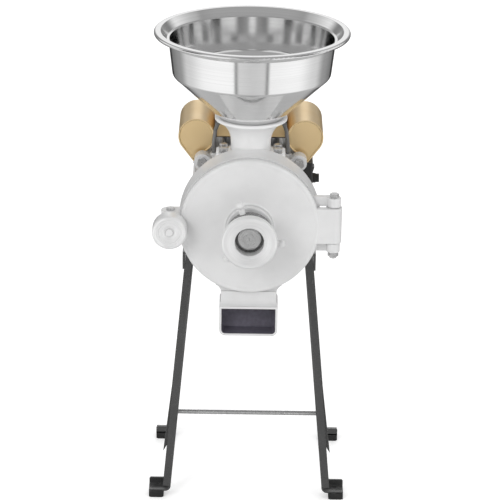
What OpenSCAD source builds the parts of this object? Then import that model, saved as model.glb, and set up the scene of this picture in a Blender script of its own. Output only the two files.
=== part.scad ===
// Electric grain mill.
// Grain drops from the hopper through the feed throat to an auger, which pushes it through the fixed disc
// into the gap before the running disc; the meal leaves by the spout under the door.
// X is right, Y runs from the door back to the fan, Z is up. The floor is z = 0 and the origin is the
// middle of the rectangle of the four feet. Depths named *_d are counted back from the door's face.

/* [Head] */
// Height of the shaft above the floor
axis_h = 430; // [400:1:460]
// Distance of the door's face in front of the middle of the feet
head_front = 185; // [180:1:190]
// Outer radius of the grinding chamber
chamber_r = 94; // [92:0.5:97]
// Wall of the grinding chamber
chamber_wall = 10; // [7:0.5:12]
// Depth at which the chamber's open face lies behind the door's face
chamber_front_d = 11; // [10.5:0.1:11.5]
// Depth of the chamber's rear wall
disc_seat_d = 42; // [42:0.5:44]
// Thickness of the chamber's rear wall
rear_wall = 8; // [6:0.5:8.5]
// Outer radius of the auger barrel
barrel_r = 38; // [34:0.5:44]
// Bore radius of the auger barrel
barrel_bore_r = 24; // [22:0.5:26]
// Depth of the motor flange's front face
flange_d = 100; // [99:0.5:101]
// Thickness of the motor flange
flange_t = 10; // [8:0.5:10.5]
// Distance of the four head bolts outside the cooling fins
flange_bolt_out = 6; // [5:0.5:8]
// Rounding radius of a motor flange ear
flange_ear_r = 11; // [9.5:0.5:12]
// Angle of the upper motor flange ears above the horizontal
flange_ear_angle = 41; // [40:1:44]
// Radius of the head bolts
head_bolt_r = 4; // [3:0.5:4.5]
// Width of the pillar under the feed throat
pillar_w = 62; // [58:1:66]
// Depth of the pillar under the feed throat
pillar_l = 46; // [44:1:50]

/* [Spout] */
// Outer width of the discharge spout
spout_w = 78; // [70:1:84]
// Wall of the discharge spout
spout_wall = 3; // [2.5:0.5:4]
// Depth of the spout's floor below the grinding chamber
spout_drop = 60; // [56:1:64]
// Height of the spout's mouth, outside
spout_mouth_h = 41.5; // [38:0.5:44]
// Width of the neck between chamber and mouth
spout_neck_w = 74; // [68:1:76]
// Depth of the mouth's plain lip
spout_lip = 2.5; // [2:0.5:4]
// Radius of the concave band above the lip
spout_fillet = 6.5; // [4:0.5:7]
// Rounding of the mouth's lower corners
spout_corner = 8; // [5:0.5:10]

/* [Door] */
// Radius of the door
door_r = 92.5; // [90:0.5:94]
// Thickness of the door
door_t = 9; // [8:0.1:9.2]
// Rounding of the door's front edge
door_edge = 4; // [2:0.5:5]
// Depth of the shallow dish in the door's face
door_dish = 1.5; // [0.5:0.5:3]
// Outer radius of the threaded boss in the door's middle
boss_r = 31.6; // [30:0.2:34]
// Length of the boss in front of the door's face
boss_h = 12; // [10:0.5:13]
// Length of the boss behind the door's plate
boss_back = 4; // [2:0.5:6]
// Distance of the hinge pin to the right of the shaft
hinge_x = 111; // [110:0.5:112]
// Outer radius of the door's hinge knuckle
knuckle_r = 10.5; // [9:0.5:11]
// Height of the door's hinge knuckle
knuckle_h = 48.6; // [40:0.2:52]
// Radius of the hinge pin
hinge_pin_r = 4.5; // [3.5:0.5:5]
// Radius of the housing's hinge bosses
hinge_boss_r = 8.75; // [8:0.25:9.5]
// Height of each hinge boss of the housing
hinge_boss_h = 12.5; // [10:0.5:15]
// Height of the hinge's middle above the shaft
hinge_rise = 2.3; // [0:0.1:4]
// Gap between the knuckle and each hinge boss
hinge_gap = 0.9; // [0.5:0.1:1.5]
// Width of the gasket ring
gasket_w = 5; // [4:0.5:6]
// Thickness of the gasket ring
gasket_t = 1.7; // [1:0.1:1.9]

/* [Adjuster] */
// Radius of the threaded adjusting sleeve
sleeve_r = 25; // [22:0.5:26]
// Radius of the thrust spindle inside the sleeve
spindle_r = 16; // [14:0.5:17]
// Radius of the thrust ball
ball_r = 4; // [3:0.5:5]
// Radius of the hand wheel
wheel_r = 36.3; // [34:0.1:42]
// Distance of the hand wheel's face in front of the door's face
wheel_front = 61; // [58:1:66]
// Thickness of the hand wheel
wheel_t = 18; // [14:0.5:19]
// Radius of the opening in the hand wheel's face
wheel_hole_r = 19; // [18:0.5:20]
// Depth of the hollow in the hand wheel's face
wheel_dish = 3.5; // [2:0.5:5]
// Outer radius of the locking ring's hub
ring_hub_r = 31; // [30:0.5:34]
// Thickness of the locking ring's hub
ring_t = 13; // [12:0.5:14]
// Distance of the locking ring's middle in front of the door's face
ring_front = 33; // [31:0.5:34]
// Radius at which the locking ring's arms end
ring_arm_r = 43; // [41:0.5:48]
// Radius of the balls on the locking ring's arms
ring_ball_r = 5.3; // [4.5:0.1:6]
// Direction of the first arm
ring_angle = 107; // [100:1:120]

/* [Clamp] */
// Distance of the clamp's pivot to the left of the shaft
clamp_x = 105; // [104:0.5:106]
// Depth of the clamp's pivot behind the door's face
clamp_d = 30; // [29:0.5:31]
// Radius of the clamp's pivot pin
clamp_pin_r = 4; // [3:0.5:4.5]
// Radius of the swing bolt's rod
rod_r = 5; // [4:0.5:5.5]
// Outer radius of the swing bolt's eye
eye_r = 9; // [8:0.5:10]
// Height of the swing bolt's eye
eye_h = 15; // [12:0.5:16]
// Length of the swing bolt from its pivot to its end
rod_l = 56; // [52:0.5:57]
// Radius of the rounded clamp ears
clamp_ear_r = 12.6; // [11:0.1:13.5]
// Thickness of each clamp ear
clamp_ear_t = 5; // [4:0.5:7]
// Radius of the hand nut
nut_r = 22.8; // [20:0.1:24]
// Length of the hand nut
nut_l = 24.5; // [22:0.5:26]
// Thickness of the washer under the hand nut
washer_t = 2.5; // [2:0.1:3]
// Height of the door's slotted lug
lug_h = 32; // [28:1:36]
// Gap between the swing bolt's eye and each ear
eye_gap = 0.5; // [0.3:0.1:1]

/* [Discs and auger] */
// Radius of the grinding discs
disc_r = 68; // [62:0.5:74]
// Thickness of each grinding disc's plate
disc_t = 10; // [8:0.5:10]
// Height of the grinding teeth
tooth_h = 2; // [1:0.25:2.25]
// Gap between the discs' teeth
grind_gap = 0.8; // [0.5:0.1:1.5]
// Number of grinding teeth on each disc
tooth_count = 24; // [12:1:30]
// Radius of the hole in the fixed disc
disc_eye_r = 30; // [27:0.5:34]
// Pitch of the auger's flight
auger_pitch = 28; // [22:1:34]
// Core radius of the auger
auger_core_r = 14; // [13:0.5:16]
// Radius of the shaft inside the head
shaft_r = 10; // [9:0.5:11]
// Radius of the screws that hold the fixed disc
disc_screw_r = 2.5; // [2:0.25:3]
// Radius of the cross pin that drives the running disc
drive_pin_r = 2.5; // [2:0.25:3]

/* [Feed] */
// Depth of the feed's middle behind the door's face
feed_d = 71; // [70.5:0.5:71.5]
// Height of the feed's foot joint above the shaft
feed_joint_h = 94.5; // [94.5:0.5:97.5]
// Thickness of the feed throat's foot
foot_t = 8; // [6:0.5:9]
// Width of the feed throat's foot
foot_w = 92; // [90:1:96]
// Depth of the feed throat's foot
foot_l = 52; // [50:1:54]
// Outer radius of the feed column
column_r = 26.6; // [25:0.2:27]
// Outer radius of the bell mouth
mouth_r = 48; // [46:0.5:52]
// Height of the bell mouth above its foot joint
mouth_h = 37.5; // [35:0.5:42]
// Height of the bell mouth's plain lip
mouth_lip = 6; // [4:0.5:7]
// Width of the bell mouth's flat rim
mouth_rim = 5; // [3:0.5:6]
// Radius of the feed bore
feed_bore_r = 21; // [19:0.5:22]
// Radius of the throat bolts
throat_bolt_r = 3; // [2:0.5:3]
// Distance of the throat bolts from the feed's middle across the mill
throat_bolt_x = 36; // [35.5:0.5:38]
// Distance of the throat bolts from the feed's middle along the shaft
throat_bolt_y = 13; // [11:0.5:16]

/* [Hopper] */
// Radius of the hopper's rim
hopper_r = 129; // [122:1:145]
// Radius of the hopper's wall under the rim
wall_top_r = 110; // [106:0.5:111]
// Radius of the hopper's wall where the cone starts
wall_foot_r = 104.5; // [98:0.5:108]
// Height of the hopper's wall
wall_h = 48; // [40:1:70]
// Rise of the cone for each millimetre of radius
cone_slope = 0.945; // [0.85:0.005:1.05]
// Thickness of the hopper's sheet
sheet_t = 1.5; // [1:0.1:2]
// Inner radius of the flat rim
rim_inner_r = 120; // [116:0.5:120.5]
// Height of the slanted band between wall and rim
band_h = 10.5; // [8:0.5:14]
// Radius of the rolled edge
roll_r = 2.6; // [2:0.1:3.5]
// Length of the spigot below the cone
spigot_l = 15; // [10:1:15]

/* [Motor] */
// Radius of the motor frame under the fins
frame_r = 70; // [66:0.5:74]
// Height of the cooling fins
fin_h = 10; // [8:0.5:11]
// Wall of the motor frame round the stator core
frame_wall = 4; // [3.5:0.5:6]
// Bore radius of the stator core
stator_bore_r = 40.5; // [38:0.5:44]
// Air gap between rotor and stator
air_gap = 0.5; // [0.3:0.1:0.8]
// Number of cooling fins
fin_count = 32; // [24:2:40]
// Thickness of a cooling fin
fin_t = 2.6; // [2:0.2:3]
// Depth of the front end shield, from the motor flange back
bell_l = 25; // [24:0.5:27]
// Length of the finned frame
frame_l = 130; // [125:1:134]
// Thickness of the ears of the front end shield
bell_ear_t = 8; // [6:0.5:9]
// Thickness of the nuts on the head bolts
head_nut_t = 5; // [4:0.5:6]
// Length of the rear end shield
rear_bell_l = 20; // [18:0.5:22]
// Length of the fan cover behind the rear end shield
cover_l = 40; // [36:1:44]
// Length of the stator core
core_l = 75; // [60:1:80]
// Outer radius of the bearings
bearing_r = 26; // [24:0.5:27]
// Width of the bearings
bearing_w = 15; // [13:0.5:15]
// Radius of the shaft in the bearings
journal_r = 12.5; // [12:0.5:13]
// Spacing of the motor feet across the mill
foot_spacing = 150; // [146:1:152]
// Spacing of the motor's bolts along the shaft
bolt_spacing = 70; // [60:1:76]
// Radius of the motor's foot bolts
motor_bolt_r = 3.5; // [3:0.25:4]
// Thickness of the motor's feet
motor_foot_t = 9; // [7:0.5:10]
// Radius of the cooling fan's blades
fan_r = 60; // [50:1:64]
// Number of the fan's blades
fan_blades = 9; // [6:1:12]

/* [Capacitors and switch] */
// Distance of each capacitor from the mill's middle
cap_x = 73.5; // [73:0.5:76]
// Height of the capacitors above the motor's uppermost fin
cap_rise = 5; // [4:0.5:8]
// Outer radius of the capacitor covers
cap_cover_r = 24.5; // [23.5:0.5:25]
// Depth of a cover's lower edge below the capacitor's middle
cap_tip_drop = 35; // [33:0.5:37]
// Length of the capacitor covers
cap_cover_l = 90; // [80:1:96]
// Radius of a capacitor
cap_r = 21; // [18:0.5:22]
// Wall of the covers
cover_wall = 1.2; // [0.8:0.1:1.4]
// Width of the terminal box
box_w = 92; // [86:1:92]
// Height of the terminal box
box_h = 35; // [30:1:38]
// Length of the terminal box
box_l = 82; // [70:1:86]
// Chamfer of the terminal box's upper edges
box_chamfer = 7; // [4:0.5:9]
// Outer radius of the capacitor leads
lead_r = 2.75; // [2.5:0.05:2.9]
// Height of the switch box over the motor frame
switch_out = 15; // [14:0.5:18]
// Height of the switch box
switch_h = 49; // [46:1:52]
// Length of the switch box
switch_l = 60; // [50:1:60]
// Width of the rocker
rocker_w = 16; // [13:0.5:18]
// Height of the rocker
rocker_h = 26; // [22:0.5:28]
// Tilt of the rocker at rest
rocker_tilt = 9; // [6:1:10]
// Radius of the cord gland's bore
gland_bore_r = 3.6; // [3:0.1:4]

/* [Stand] */
// Distance between the rails' outer faces
rail_w = 183; // [182:0.5:184]
// Flange width of the rails
rail_flange = 25; // [25:0.5:27]
// Sheet thickness of rails and legs
steel_t = 3; // [2.5:0.1:3.2]
// Length of the rails beyond the motor frame
rail_over = 20; // [18:1:22]
// Width of a leg's flanges
leg_w = 13; // [12:0.5:14]
// Depth of a leg
leg_d = 25; // [22:0.5:26]
// Distance of a leg's inner face from the mill's middle at the floor
leg_x_floor = 101; // [100:0.5:102]
// Distance between the front and the rear of the feet
feet_span = 224; // [220:1:228]
// Distance of a foot's outer end from the mill's middle
foot_x = 136; // [134:0.5:140]
// Thickness of the rubber pads
pad_t = 9; // [7:0.5:10]
// Length of the rubber pads
pad_l = 15; // [12:0.5:17]
// Height of the tie rod above the floor
tie_h = 120.6; // [110:0.1:130]
// Radius of the tie rod
tie_r = 3.25; // [3:0.25:3.5]

/* [Hidden] */
$fn = 72;

fit = 0.05;      // radial play of a running fit
seat = 0.02;     // radial play of a tight seat
play = 0.3;      // gap between parts that move past each other
screw_play = 0.3; // radial play of a screw in its hole

// Y of a depth counted back from the door's face
function at(d) = d - head_front;

// Feed and hopper levels
feed_y = at(feed_d);
joint_z = axis_h + feed_joint_h;
mouth_z = joint_z + mouth_h;
seat_edge_r = mouth_r - mouth_rim;
function seat_z(r) = mouth_z + cone_slope * (r - seat_edge_r);
function cone_z(r) = seat_z(r) + play;
cone_angle = atan(cone_slope);
spigot_r = feed_bore_r - 0.5;
throat_bolt_depth = 8;
spigot_bottom = cone_z(spigot_r) - spigot_l;
break_z = cone_z(wall_foot_r);
ledge_z = break_z + wall_h;
rim_z = ledge_z + band_h;

wall_back_d = disc_seat_d + rear_wall;
cone_w = 16;
casting_gap = 0.1;

// Discs, counted from the chamber's rear wall forward
fixed_face_d = disc_seat_d - disc_t;
running_face_d = fixed_face_d - 2 * tooth_h - grind_gap;
running_front_d = running_face_d - disc_t;
nose_d = running_front_d - 1.5;
drive_pin_l = 35;
barrel_end_d = flange_d - 4;
auger_front_d = disc_seat_d - disc_t + 1;
auger_back_d = barrel_end_d - 1;
seal_back_d = flange_d + 4;

// Motor radii; the feet stand level with the lowest fins
motor_r = frame_r + fin_h;
stator_r = frame_r - frame_wall;
shaft_height = motor_r;
flange_bolt_r = motor_r + flange_bolt_out;

// Motor planes along Y
motor_y = at(flange_d + flange_t);
frame_y = motor_y + bell_l;
rear_y = frame_y + frame_l;
fan_y = rear_y + rear_bell_l;
core_y = frame_y + (frame_l - core_l) / 2;
fan_seat_r = 9;
cover_on_rim = rear_bell_l - 8;
cover_screw_y = fan_y - cover_on_rim + 1;

// Capacitor covers, terminal box and switch
cap_h = motor_r + cap_rise;
cap_tip_h = cap_h - cap_tip_drop;
cover_y = motor_y + bell_ear_t + head_nut_t + 1;
box_y = frame_y - 2;
bracket_z = axis_h + motor_r + play;
box_z = bracket_z + 2.5;
switch_y = frame_y + 5;
switch_z = axis_h + 19.5;
switch_x = frame_r + switch_out;
rocker_x = switch_x - 4;
rocker_y = switch_y + (switch_l - rocker_w) / 2;

gland_y = switch_y + switch_l - 11;
gland_z = switch_z - 13;
gland_l = 10;
rocker_hollow = 9;
lead_x = 50;
lead_y = motor_y + 10;
lead_seat_z = axis_h + motor_r - 16;
lead_boss_h = 10;

// Door, hinge and clamp
chamber_low = axis_h - chamber_r;
spout_floor_h = chamber_low - spout_drop;
hinge_z = axis_h + hinge_rise;
knuckle_z = hinge_z - knuckle_h / 2;
hinge_low = knuckle_z - hinge_gap - hinge_boss_h;
hinge_top = knuckle_z + knuckle_h + hinge_gap + hinge_boss_h;
hinge_nut_t = 6.5;
ear_low = axis_h - eye_h / 2 - eye_gap - clamp_ear_t;
ear_top = axis_h + eye_h / 2 + eye_gap + clamp_ear_t;
washer_face = clamp_d + 0.7;
nut_face = washer_face + washer_t + 0.1;

// Adjuster
sleeve_front_d = 7 - wheel_front;
sleeve_back_d = door_t + boss_back;
spindle_front_d = 4.5 - wheel_front;
ball_d = nose_d - play - ball_r;

// Stand
rail_top = axis_h - shaft_height;
rail_y = motor_y + 10;
rail_l = frame_l + rail_over;
leg_t = steel_t - 0.4;
pitch_front = (feet_span / 2 + rail_y + 2) / rail_top;
pitch_rear = (feet_span / 2 - rail_y - rail_l) / rail_top;
leg_x_rail = rail_w / 2 - steel_t - play - leg_w;
spread = (leg_x_floor - leg_x_rail) / (rail_top - rail_flange);
tie_y = -feet_span / 2 + pitch_front * tie_h + 9;
bolt_y = (frame_y + rear_y) / 2 + 3;

// Points along an arc, from angle a0 to a1
function arc(c, r, a0, a1, n = 8) =
    [for (i = [0:n]) let (a = a0 + (a1 - a0) * i / n) c + r * [cos(a), sin(a)]];

// Turns its children's Z axis into the shaft's direction, at a depth behind the door's face
module on_axis(d) { translate([0, at(d), axis_h]) rotate([-90, 0, 0]) children(); }

// A ring about Z
module ring(r_out, r_in, h) {
    difference() {
        cylinder(r = r_out, h = h);
        translate([0, 0, -1]) cylinder(r = r_in, h = h + 2);
    }
}

// A block with rounded upright edges, centred on Z
module slab(w, l, h, r) {
    linear_extrude(h) {
        square([w - 2 * r, l], center = true);
        square([w, l - 2 * r], center = true);
        for (x = [-1, 1], y = [-1, 1]) translate([x * (w / 2 - r), y * (l / 2 - r)]) circle(r = r);
    }
}

// A hexagon screw head with its washer face down
module hex_head(r, h) {
    cylinder(r = r, h = h, $fn = 6);
}

// A tube swept along a list of points
function unit(v) = v / norm(v);
function heading(p, i) = unit(p[min(i + 1, len(p) - 1)] - p[max(i - 1, 0)]);
function side_dir(t) = unit(cross(t, [1, 0, 0]));
module sweep_tube(p, r, sides = 10) {
    n = len(p);
    pts = [for (i = [0:n - 1]) let (t = heading(p, i), u = side_dir(t), v = cross(t, u))
        for (k = [0:sides - 1]) p[i] + r * (cos(360 * k / sides) * u + sin(360 * k / sides) * v)];
    walls = [for (i = [0:n - 2], k = [0:sides - 1]) let (a = i * sides + k, b = i * sides + (k + 1) % sides)
        [a, a + sides, b + sides, b]];
    caps = [[for (k = [0:sides - 1]) k], [for (k = [sides - 1:-1:0]) (n - 1) * sides + k]];
    polyhedron(points = pts, faces = concat(walls, caps));
}

// Spun bowl: rolled rim, slanted band, wall, rounded break, cone and spigot
module hopper() {
    lean = atan2(wall_h, wall_top_r - wall_foot_r);
    bend_r = 8;
    ledge_w = 2;
    tangent = bend_r * tan((lean - cone_angle) / 2);
    bend_c = [wall_foot_r, break_z] - tangent * [cos(cone_angle), sin(cone_angle)]
        + bend_r * [-sin(cone_angle), cos(cone_angle)];
    drop = sheet_t / cos(cone_angle);
    outer = concat(
        [[spigot_r, spigot_bottom], [spigot_r, cone_z(spigot_r)]],
        arc(bend_c, bend_r, cone_angle - 90, lean - 90),
        [[wall_top_r, ledge_z - sheet_t], [wall_top_r + ledge_w + sheet_t, ledge_z - sheet_t],
         [rim_inner_r + sheet_t * 0.8, rim_z - sheet_t], [hopper_r - roll_r, rim_z - sheet_t]]);
    inner = concat(
        [[hopper_r - roll_r, rim_z], [rim_inner_r, rim_z], [wall_top_r + ledge_w, ledge_z],
         [wall_top_r - sheet_t, ledge_z - 0.5]],
        arc(bend_c, bend_r - sheet_t, lean - 90, cone_angle - 90),
        [[spigot_r - sheet_t, cone_z(spigot_r - sheet_t) + drop], [spigot_r - sheet_t, spigot_bottom]]);
    color("gainsboro") translate([0, feed_y, 0]) {
        rotate_extrude($fn = 96) polygon(concat(outer, inner));
        translate([0, 0, rim_z - roll_r]) rotate_extrude($fn = 96)
            translate([hopper_r - roll_r, 0]) circle(r = roll_r, $fn = 20);
    }
}

// Positions of the four throat bolts
module at_throat_bolts() {
    for (x = [-1, 1], y = [-1, 1]) translate([x * throat_bolt_x, feed_y + y * throat_bolt_y, 0])
        children();
}

// Cast column with a concave flare up to the bell mouth
module feed_throat() {
    foot_top = joint_z + foot_t;
    flare = mouth_h - foot_t - mouth_lip;
    outside = concat([[feed_bore_r, joint_z], [column_r, joint_z]],
        [for (a = [0:10:90]) [column_r + (mouth_r - column_r) * (1 - cos(a)), foot_top + flare * sin(a)]],
        [[mouth_r, mouth_z - 1], [mouth_r - 1, mouth_z], [seat_edge_r, mouth_z],
         [feed_bore_r, seat_z(feed_bore_r)]]);
    color("gainsboro") difference() {
        union() {
            translate([0, feed_y, joint_z]) slab(foot_w, foot_l, foot_t, 6);
            translate([0, feed_y, 0]) rotate_extrude() polygon(outside);
        }
        translate([0, feed_y, joint_z - 1]) cylinder(r = feed_bore_r, h = foot_t + 2);
        translate([0, 0, joint_z - 1]) at_throat_bolts()
            cylinder(r = throat_bolt_r + screw_play, h = foot_t + 2);
    }
}

module throat_bolts() {
    washer = 1.6;
    grip = foot_t + throat_bolt_depth;
    color("silver") translate([0, 0, joint_z + foot_t]) at_throat_bolts() {
        ring(2 * throat_bolt_r, throat_bolt_r + 0.1, washer);
        translate([0, 0, washer]) hex_head(1.9 * throat_bolt_r, 1.4 * throat_bolt_r);
        translate([0, 0, -grip]) cylinder(r = throat_bolt_r, h = grip + washer + 0.5);
    }
}

// Places one child at each of the four motor flange ears
module at_flange_ears() {
    for (a = [flange_ear_angle, 180 - flange_ear_angle, 180 + flange_ear_angle, -flange_ear_angle])
        rotate([0, 0, a]) translate([flange_bolt_r, 0, 0]) children();
}

// Disc with four ears, about Z
module eared_flange(r, t) {
    linear_extrude(t) {
        circle(r = r);
        at_flange_ears() {
            circle(r = flange_ear_r);
            translate([r - flange_bolt_r - 8, 0.005 - flange_ear_r])
                square([flange_bolt_r - r + 8, 2 * flange_ear_r - 0.01]);
        }
    }
}

// Clamp ear: half-round end about the pivot, running into the chamber
module clamp_ear(z0) {
    translate([-clamp_x, at(clamp_d), z0]) {
        cylinder(r = clamp_ear_r, h = clamp_ear_t);
        translate([0, -clamp_ear_r, 0])
            cube([clamp_x - chamber_r + chamber_wall, 2 * clamp_ear_r, clamp_ear_t]);
    }
}

// Hinge boss with its arm to the chamber
module hinge_boss(z0) {
    arm_x = chamber_r - chamber_wall;
    translate([hinge_x, at(chamber_front_d), z0]) {
        cylinder(r = hinge_boss_r, h = hinge_boss_h);
        translate([arm_x - hinge_x, 0.8, 0]) cube([hinge_x - arm_x, hinge_boss_r - 0.8, hinge_boss_h]);
    }
}

// Side view of the spout's outside: lip, concave band, neck and sloping back
module spout_side() {
    front = at(0);
    top_z = spout_floor_h + spout_mouth_h;
    back = at(disc_seat_d + 2);
    join_z = chamber_low + 21.5;
    polygon(concat([[front, spout_floor_h], [front, top_z], [front + spout_lip, top_z]],
        arc([front + spout_lip, top_z + spout_fillet], spout_fillet, -90, 0, 6),
        [[front + spout_lip + spout_fillet, chamber_low], [at(chamber_front_d), chamber_low + 0.5],
         [at(chamber_front_d), join_z], [back, join_z], [back, top_z + 15], [front + 28, spout_floor_h]]));
}

// Side view of the way through the spout
module passage_side() {
    front = at(0);
    inner_z = chamber_low + 32;
    floor_z = spout_floor_h + spout_wall;
    top_z = spout_floor_h + spout_mouth_h - spout_wall;
    wall_y = at(chamber_front_d) + spout_wall;
    back_y = at(disc_seat_d - 1);
    polygon([[front - 1, floor_z], [front - 1, top_z], [front + 6, top_z], [wall_y + 0.5, top_z + 8],
        [wall_y + 1, inner_z], [back_y, inner_z], [back_y, top_z + 18], [front + 26, floor_z]]);
}

// Front view of the spout: rounded floor corners, straight mouth, waisted neck flaring into the chamber
module spout_front(inset) {
    w = spout_w / 2 - inset;
    low = spout_floor_h + inset;
    corner = spout_corner - inset;
    lip_z = spout_floor_h + spout_mouth_h + 2;
    neck = spout_neck_w / 2 - inset;
    flare = 12;
    half = concat(arc([w - corner, low + corner], corner, -90, 0, 6), [[w, lip_z], [neck, lip_z + 2]],
        arc([neck + flare, chamber_low - 2.5], flare, 180, 115, 6), [[neck + flare, chamber_low + 46]]);
    polygon(concat(half, [for (i = [len(half) - 1:-1:0]) [-half[i].x, half[i].y]]));
}

// What the spout's side view, as the child, and its front view have in common
module spout_solid(inset) {
    intersection() {
        rotate([90, 0, 90]) translate([0, 0, -spout_w]) linear_extrude(2 * spout_w) children();
        translate([0, at(disc_seat_d + 4), 0]) rotate([90, 0, 0]) linear_extrude(disc_seat_d + 10)
            spout_front(inset);
    }
}

// Outside of the grinding chamber, grown by a clearance
module chamber_drum(grow) {
    on_axis(chamber_front_d - grow)
        cylinder(r = chamber_r + grow, h = wall_back_d - chamber_front_d + 2 * grow, $fn = 120);
}

// Outside of the auger barrel with its cone towards the chamber, grown by a clearance
module barrel_drum(grow) {
    on_axis(wall_back_d - 1) cylinder(r1 = barrel_r + cone_w + 1 + grow, r2 = barrel_r + grow, h = cone_w + 1);
    on_axis(wall_back_d) cylinder(r = barrel_r + grow, h = flange_d - wall_back_d + 1);
}

// Feed bore from the foot joint down into the barrel
module feed_shaft() {
    translate([0, feed_y, axis_h]) cylinder(r = feed_bore_r - 1, h = feed_joint_h + 1);
}

// Chamber, barrel, motor flange, hinge bosses and clamp ears of the head's casting
module head_housing() {
    rib_x = 50;
    color("lightgray") difference() {
        union() {
            chamber_drum(0);
            barrel_drum(0);
            on_axis(flange_d) mirror([0, 1, 0]) eared_flange(motor_r - 12, flange_t);
            for (z = [hinge_low, hinge_top - hinge_boss_h]) hinge_boss(z);
            for (z = [ear_low, ear_top - clamp_ear_t]) clamp_ear(z);
            for (s = [-1, 1]) translate([s * rib_x - 4, at(wall_back_d) - 2, axis_h - 30])
                cube([8, flange_d - wall_back_d + 3, 60]);
        }
        on_axis(chamber_front_d - 1)
            cylinder(r = chamber_r - chamber_wall, h = disc_seat_d - chamber_front_d + 1, $fn = 120);
        on_axis(disc_seat_d - 1) cylinder(r = barrel_bore_r, h = barrel_end_d - disc_seat_d + 1);
        on_axis(barrel_end_d - 1) cylinder(r = barrel_bore_r - 2, h = seal_back_d - barrel_end_d + 1);
        on_axis(seal_back_d - 1) cylinder(r = journal_r + 1.5, h = flange_t);
        feed_shaft();
        on_axis(flange_d - 1) mirror([0, 1, 0]) at_flange_ears()
            cylinder(r = head_bolt_r + screw_play, h = flange_t + 2);
        on_axis(disc_seat_d - 1) at_disc_screws() cylinder(r = disc_screw_r + seat, h = 7.5);
        translate([hinge_x, at(chamber_front_d), axis_h - 60]) cylinder(r = hinge_pin_r + seat, h = 120);
        translate([-clamp_x, at(clamp_d), axis_h - 30]) cylinder(r = clamp_pin_r + seat, h = 60);
        spout_solid(spout_wall) passage_side();
    }
}

// Pillar of the head's casting, from the barrel up to the feed throat's foot
module feed_pillar() {
    top_t = 10;
    color("lightgray") difference() {
        union() {
            translate([0, feed_y, axis_h]) slab(pillar_w, pillar_l, feed_joint_h - 1, 10);
            translate([0, feed_y, joint_z - top_t]) slab(foot_w, foot_l, top_t, 6);
        }
        chamber_drum(casting_gap);
        barrel_drum(casting_gap);
        feed_shaft();
        translate([0, 0, joint_z - throat_bolt_depth - 0.5]) at_throat_bolts()
            cylinder(r = throat_bolt_r + seat, h = throat_bolt_depth + 2);
    }
}

// Spout of the head's casting, from the chamber down to its mouth
module discharge_spout() {
    color("lightgray") difference() {
        spout_solid(0) spout_side();
        chamber_drum(casting_gap);
        spout_solid(spout_wall) passage_side();
    }
}

module at_disc_screws() {
    for (a = [90, 210, 330]) rotate([0, 0, a]) translate([0.72 * disc_r, 0, 0]) children();
}

// Radial teeth standing up from z = 0
module teeth(r_in, r_out) {
    tooth_w = 2;
    slant = 12;
    for (i = [0:tooth_count - 1]) rotate([0, 0, 360 * (i + 0.5) / tooth_count]) translate([r_in, 0, -0.5])
        rotate([0, 0, slant]) translate([0, -tooth_w / 2, 0]) cube([r_out - r_in, tooth_w, tooth_h + 0.5]);
}

module fixed_disc() {
    color("dimgray") on_axis(disc_seat_d) mirror([0, 0, 1]) difference() {
        union() {
            cylinder(r = disc_r, h = disc_t);
            translate([0, 0, disc_t]) teeth(disc_eye_r + 4, disc_r - 7);
        }
        translate([0, 0, -1]) cylinder(r = disc_eye_r, h = disc_t + tooth_h + 2);
        at_disc_screws() {
            translate([0, 0, -1]) cylinder(r = disc_screw_r + screw_play, h = disc_t + 2);
            translate([0, 0, disc_t - 4]) cylinder(r = 5.2, h = tooth_h + 5);
        }
    }
}

module disc_screws() {
    color("silver") on_axis(disc_seat_d - disc_t) at_disc_screws() {
        cylinder(r = disc_screw_r, h = disc_t + 5.5);
        translate([0, 0, 0.5]) difference() {
            cylinder(r = 4.8, h = 3.5);
            translate([0, 0, -1]) cylinder(r = 2, h = 3, $fn = 6);
        }
    }
}

module rotating_disc() {
    color("gray") on_axis(running_front_d) difference() {
        union() {
            cylinder(r = disc_r, h = disc_t);
            translate([0, 0, disc_t]) teeth(disc_eye_r - 6, disc_r - 7);
        }
        translate([0, 0, -1]) cylinder(r = shaft_r + seat, h = disc_t + tooth_h + 2);
        translate([0, 0, disc_t / 2]) rotate([90, 0, 0])
            cylinder(r = drive_pin_r + seat, h = drive_pin_l + 1, center = true);
    }
}

// Cross pin through the shaft's nose that drives the running disc
module drive_pin() {
    color("silver") on_axis(running_front_d + disc_t / 2) rotate([90, 0, 0])
        cylinder(r = drive_pin_r, h = drive_pin_l, center = true);
}

// Core with a one-start screw flight
module feed_auger() {
    turn_l = auger_back_d - auger_front_d - 4;
    color("slategray") on_axis(auger_front_d) {
        ring(auger_core_r, shaft_r + seat, auger_back_d - auger_front_d);
        translate([0, 0, 1])
            linear_extrude(turn_l, twist = 360 * turn_l / auger_pitch, slices = 48, segments = 6)
            polygon([[auger_core_r - 1, -3], [barrel_bore_r - 1, -2], [barrel_bore_r - 0.7, 0],
                [barrel_bore_r - 1, 2], [auger_core_r - 1, 3]]);
    }
}

module shaft_seal() {
    color("black") on_axis(barrel_end_d + 0.5)
        ring(barrel_bore_r - 2 - seat, journal_r + fit, seal_back_d - barrel_end_d - 1);
}

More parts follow.
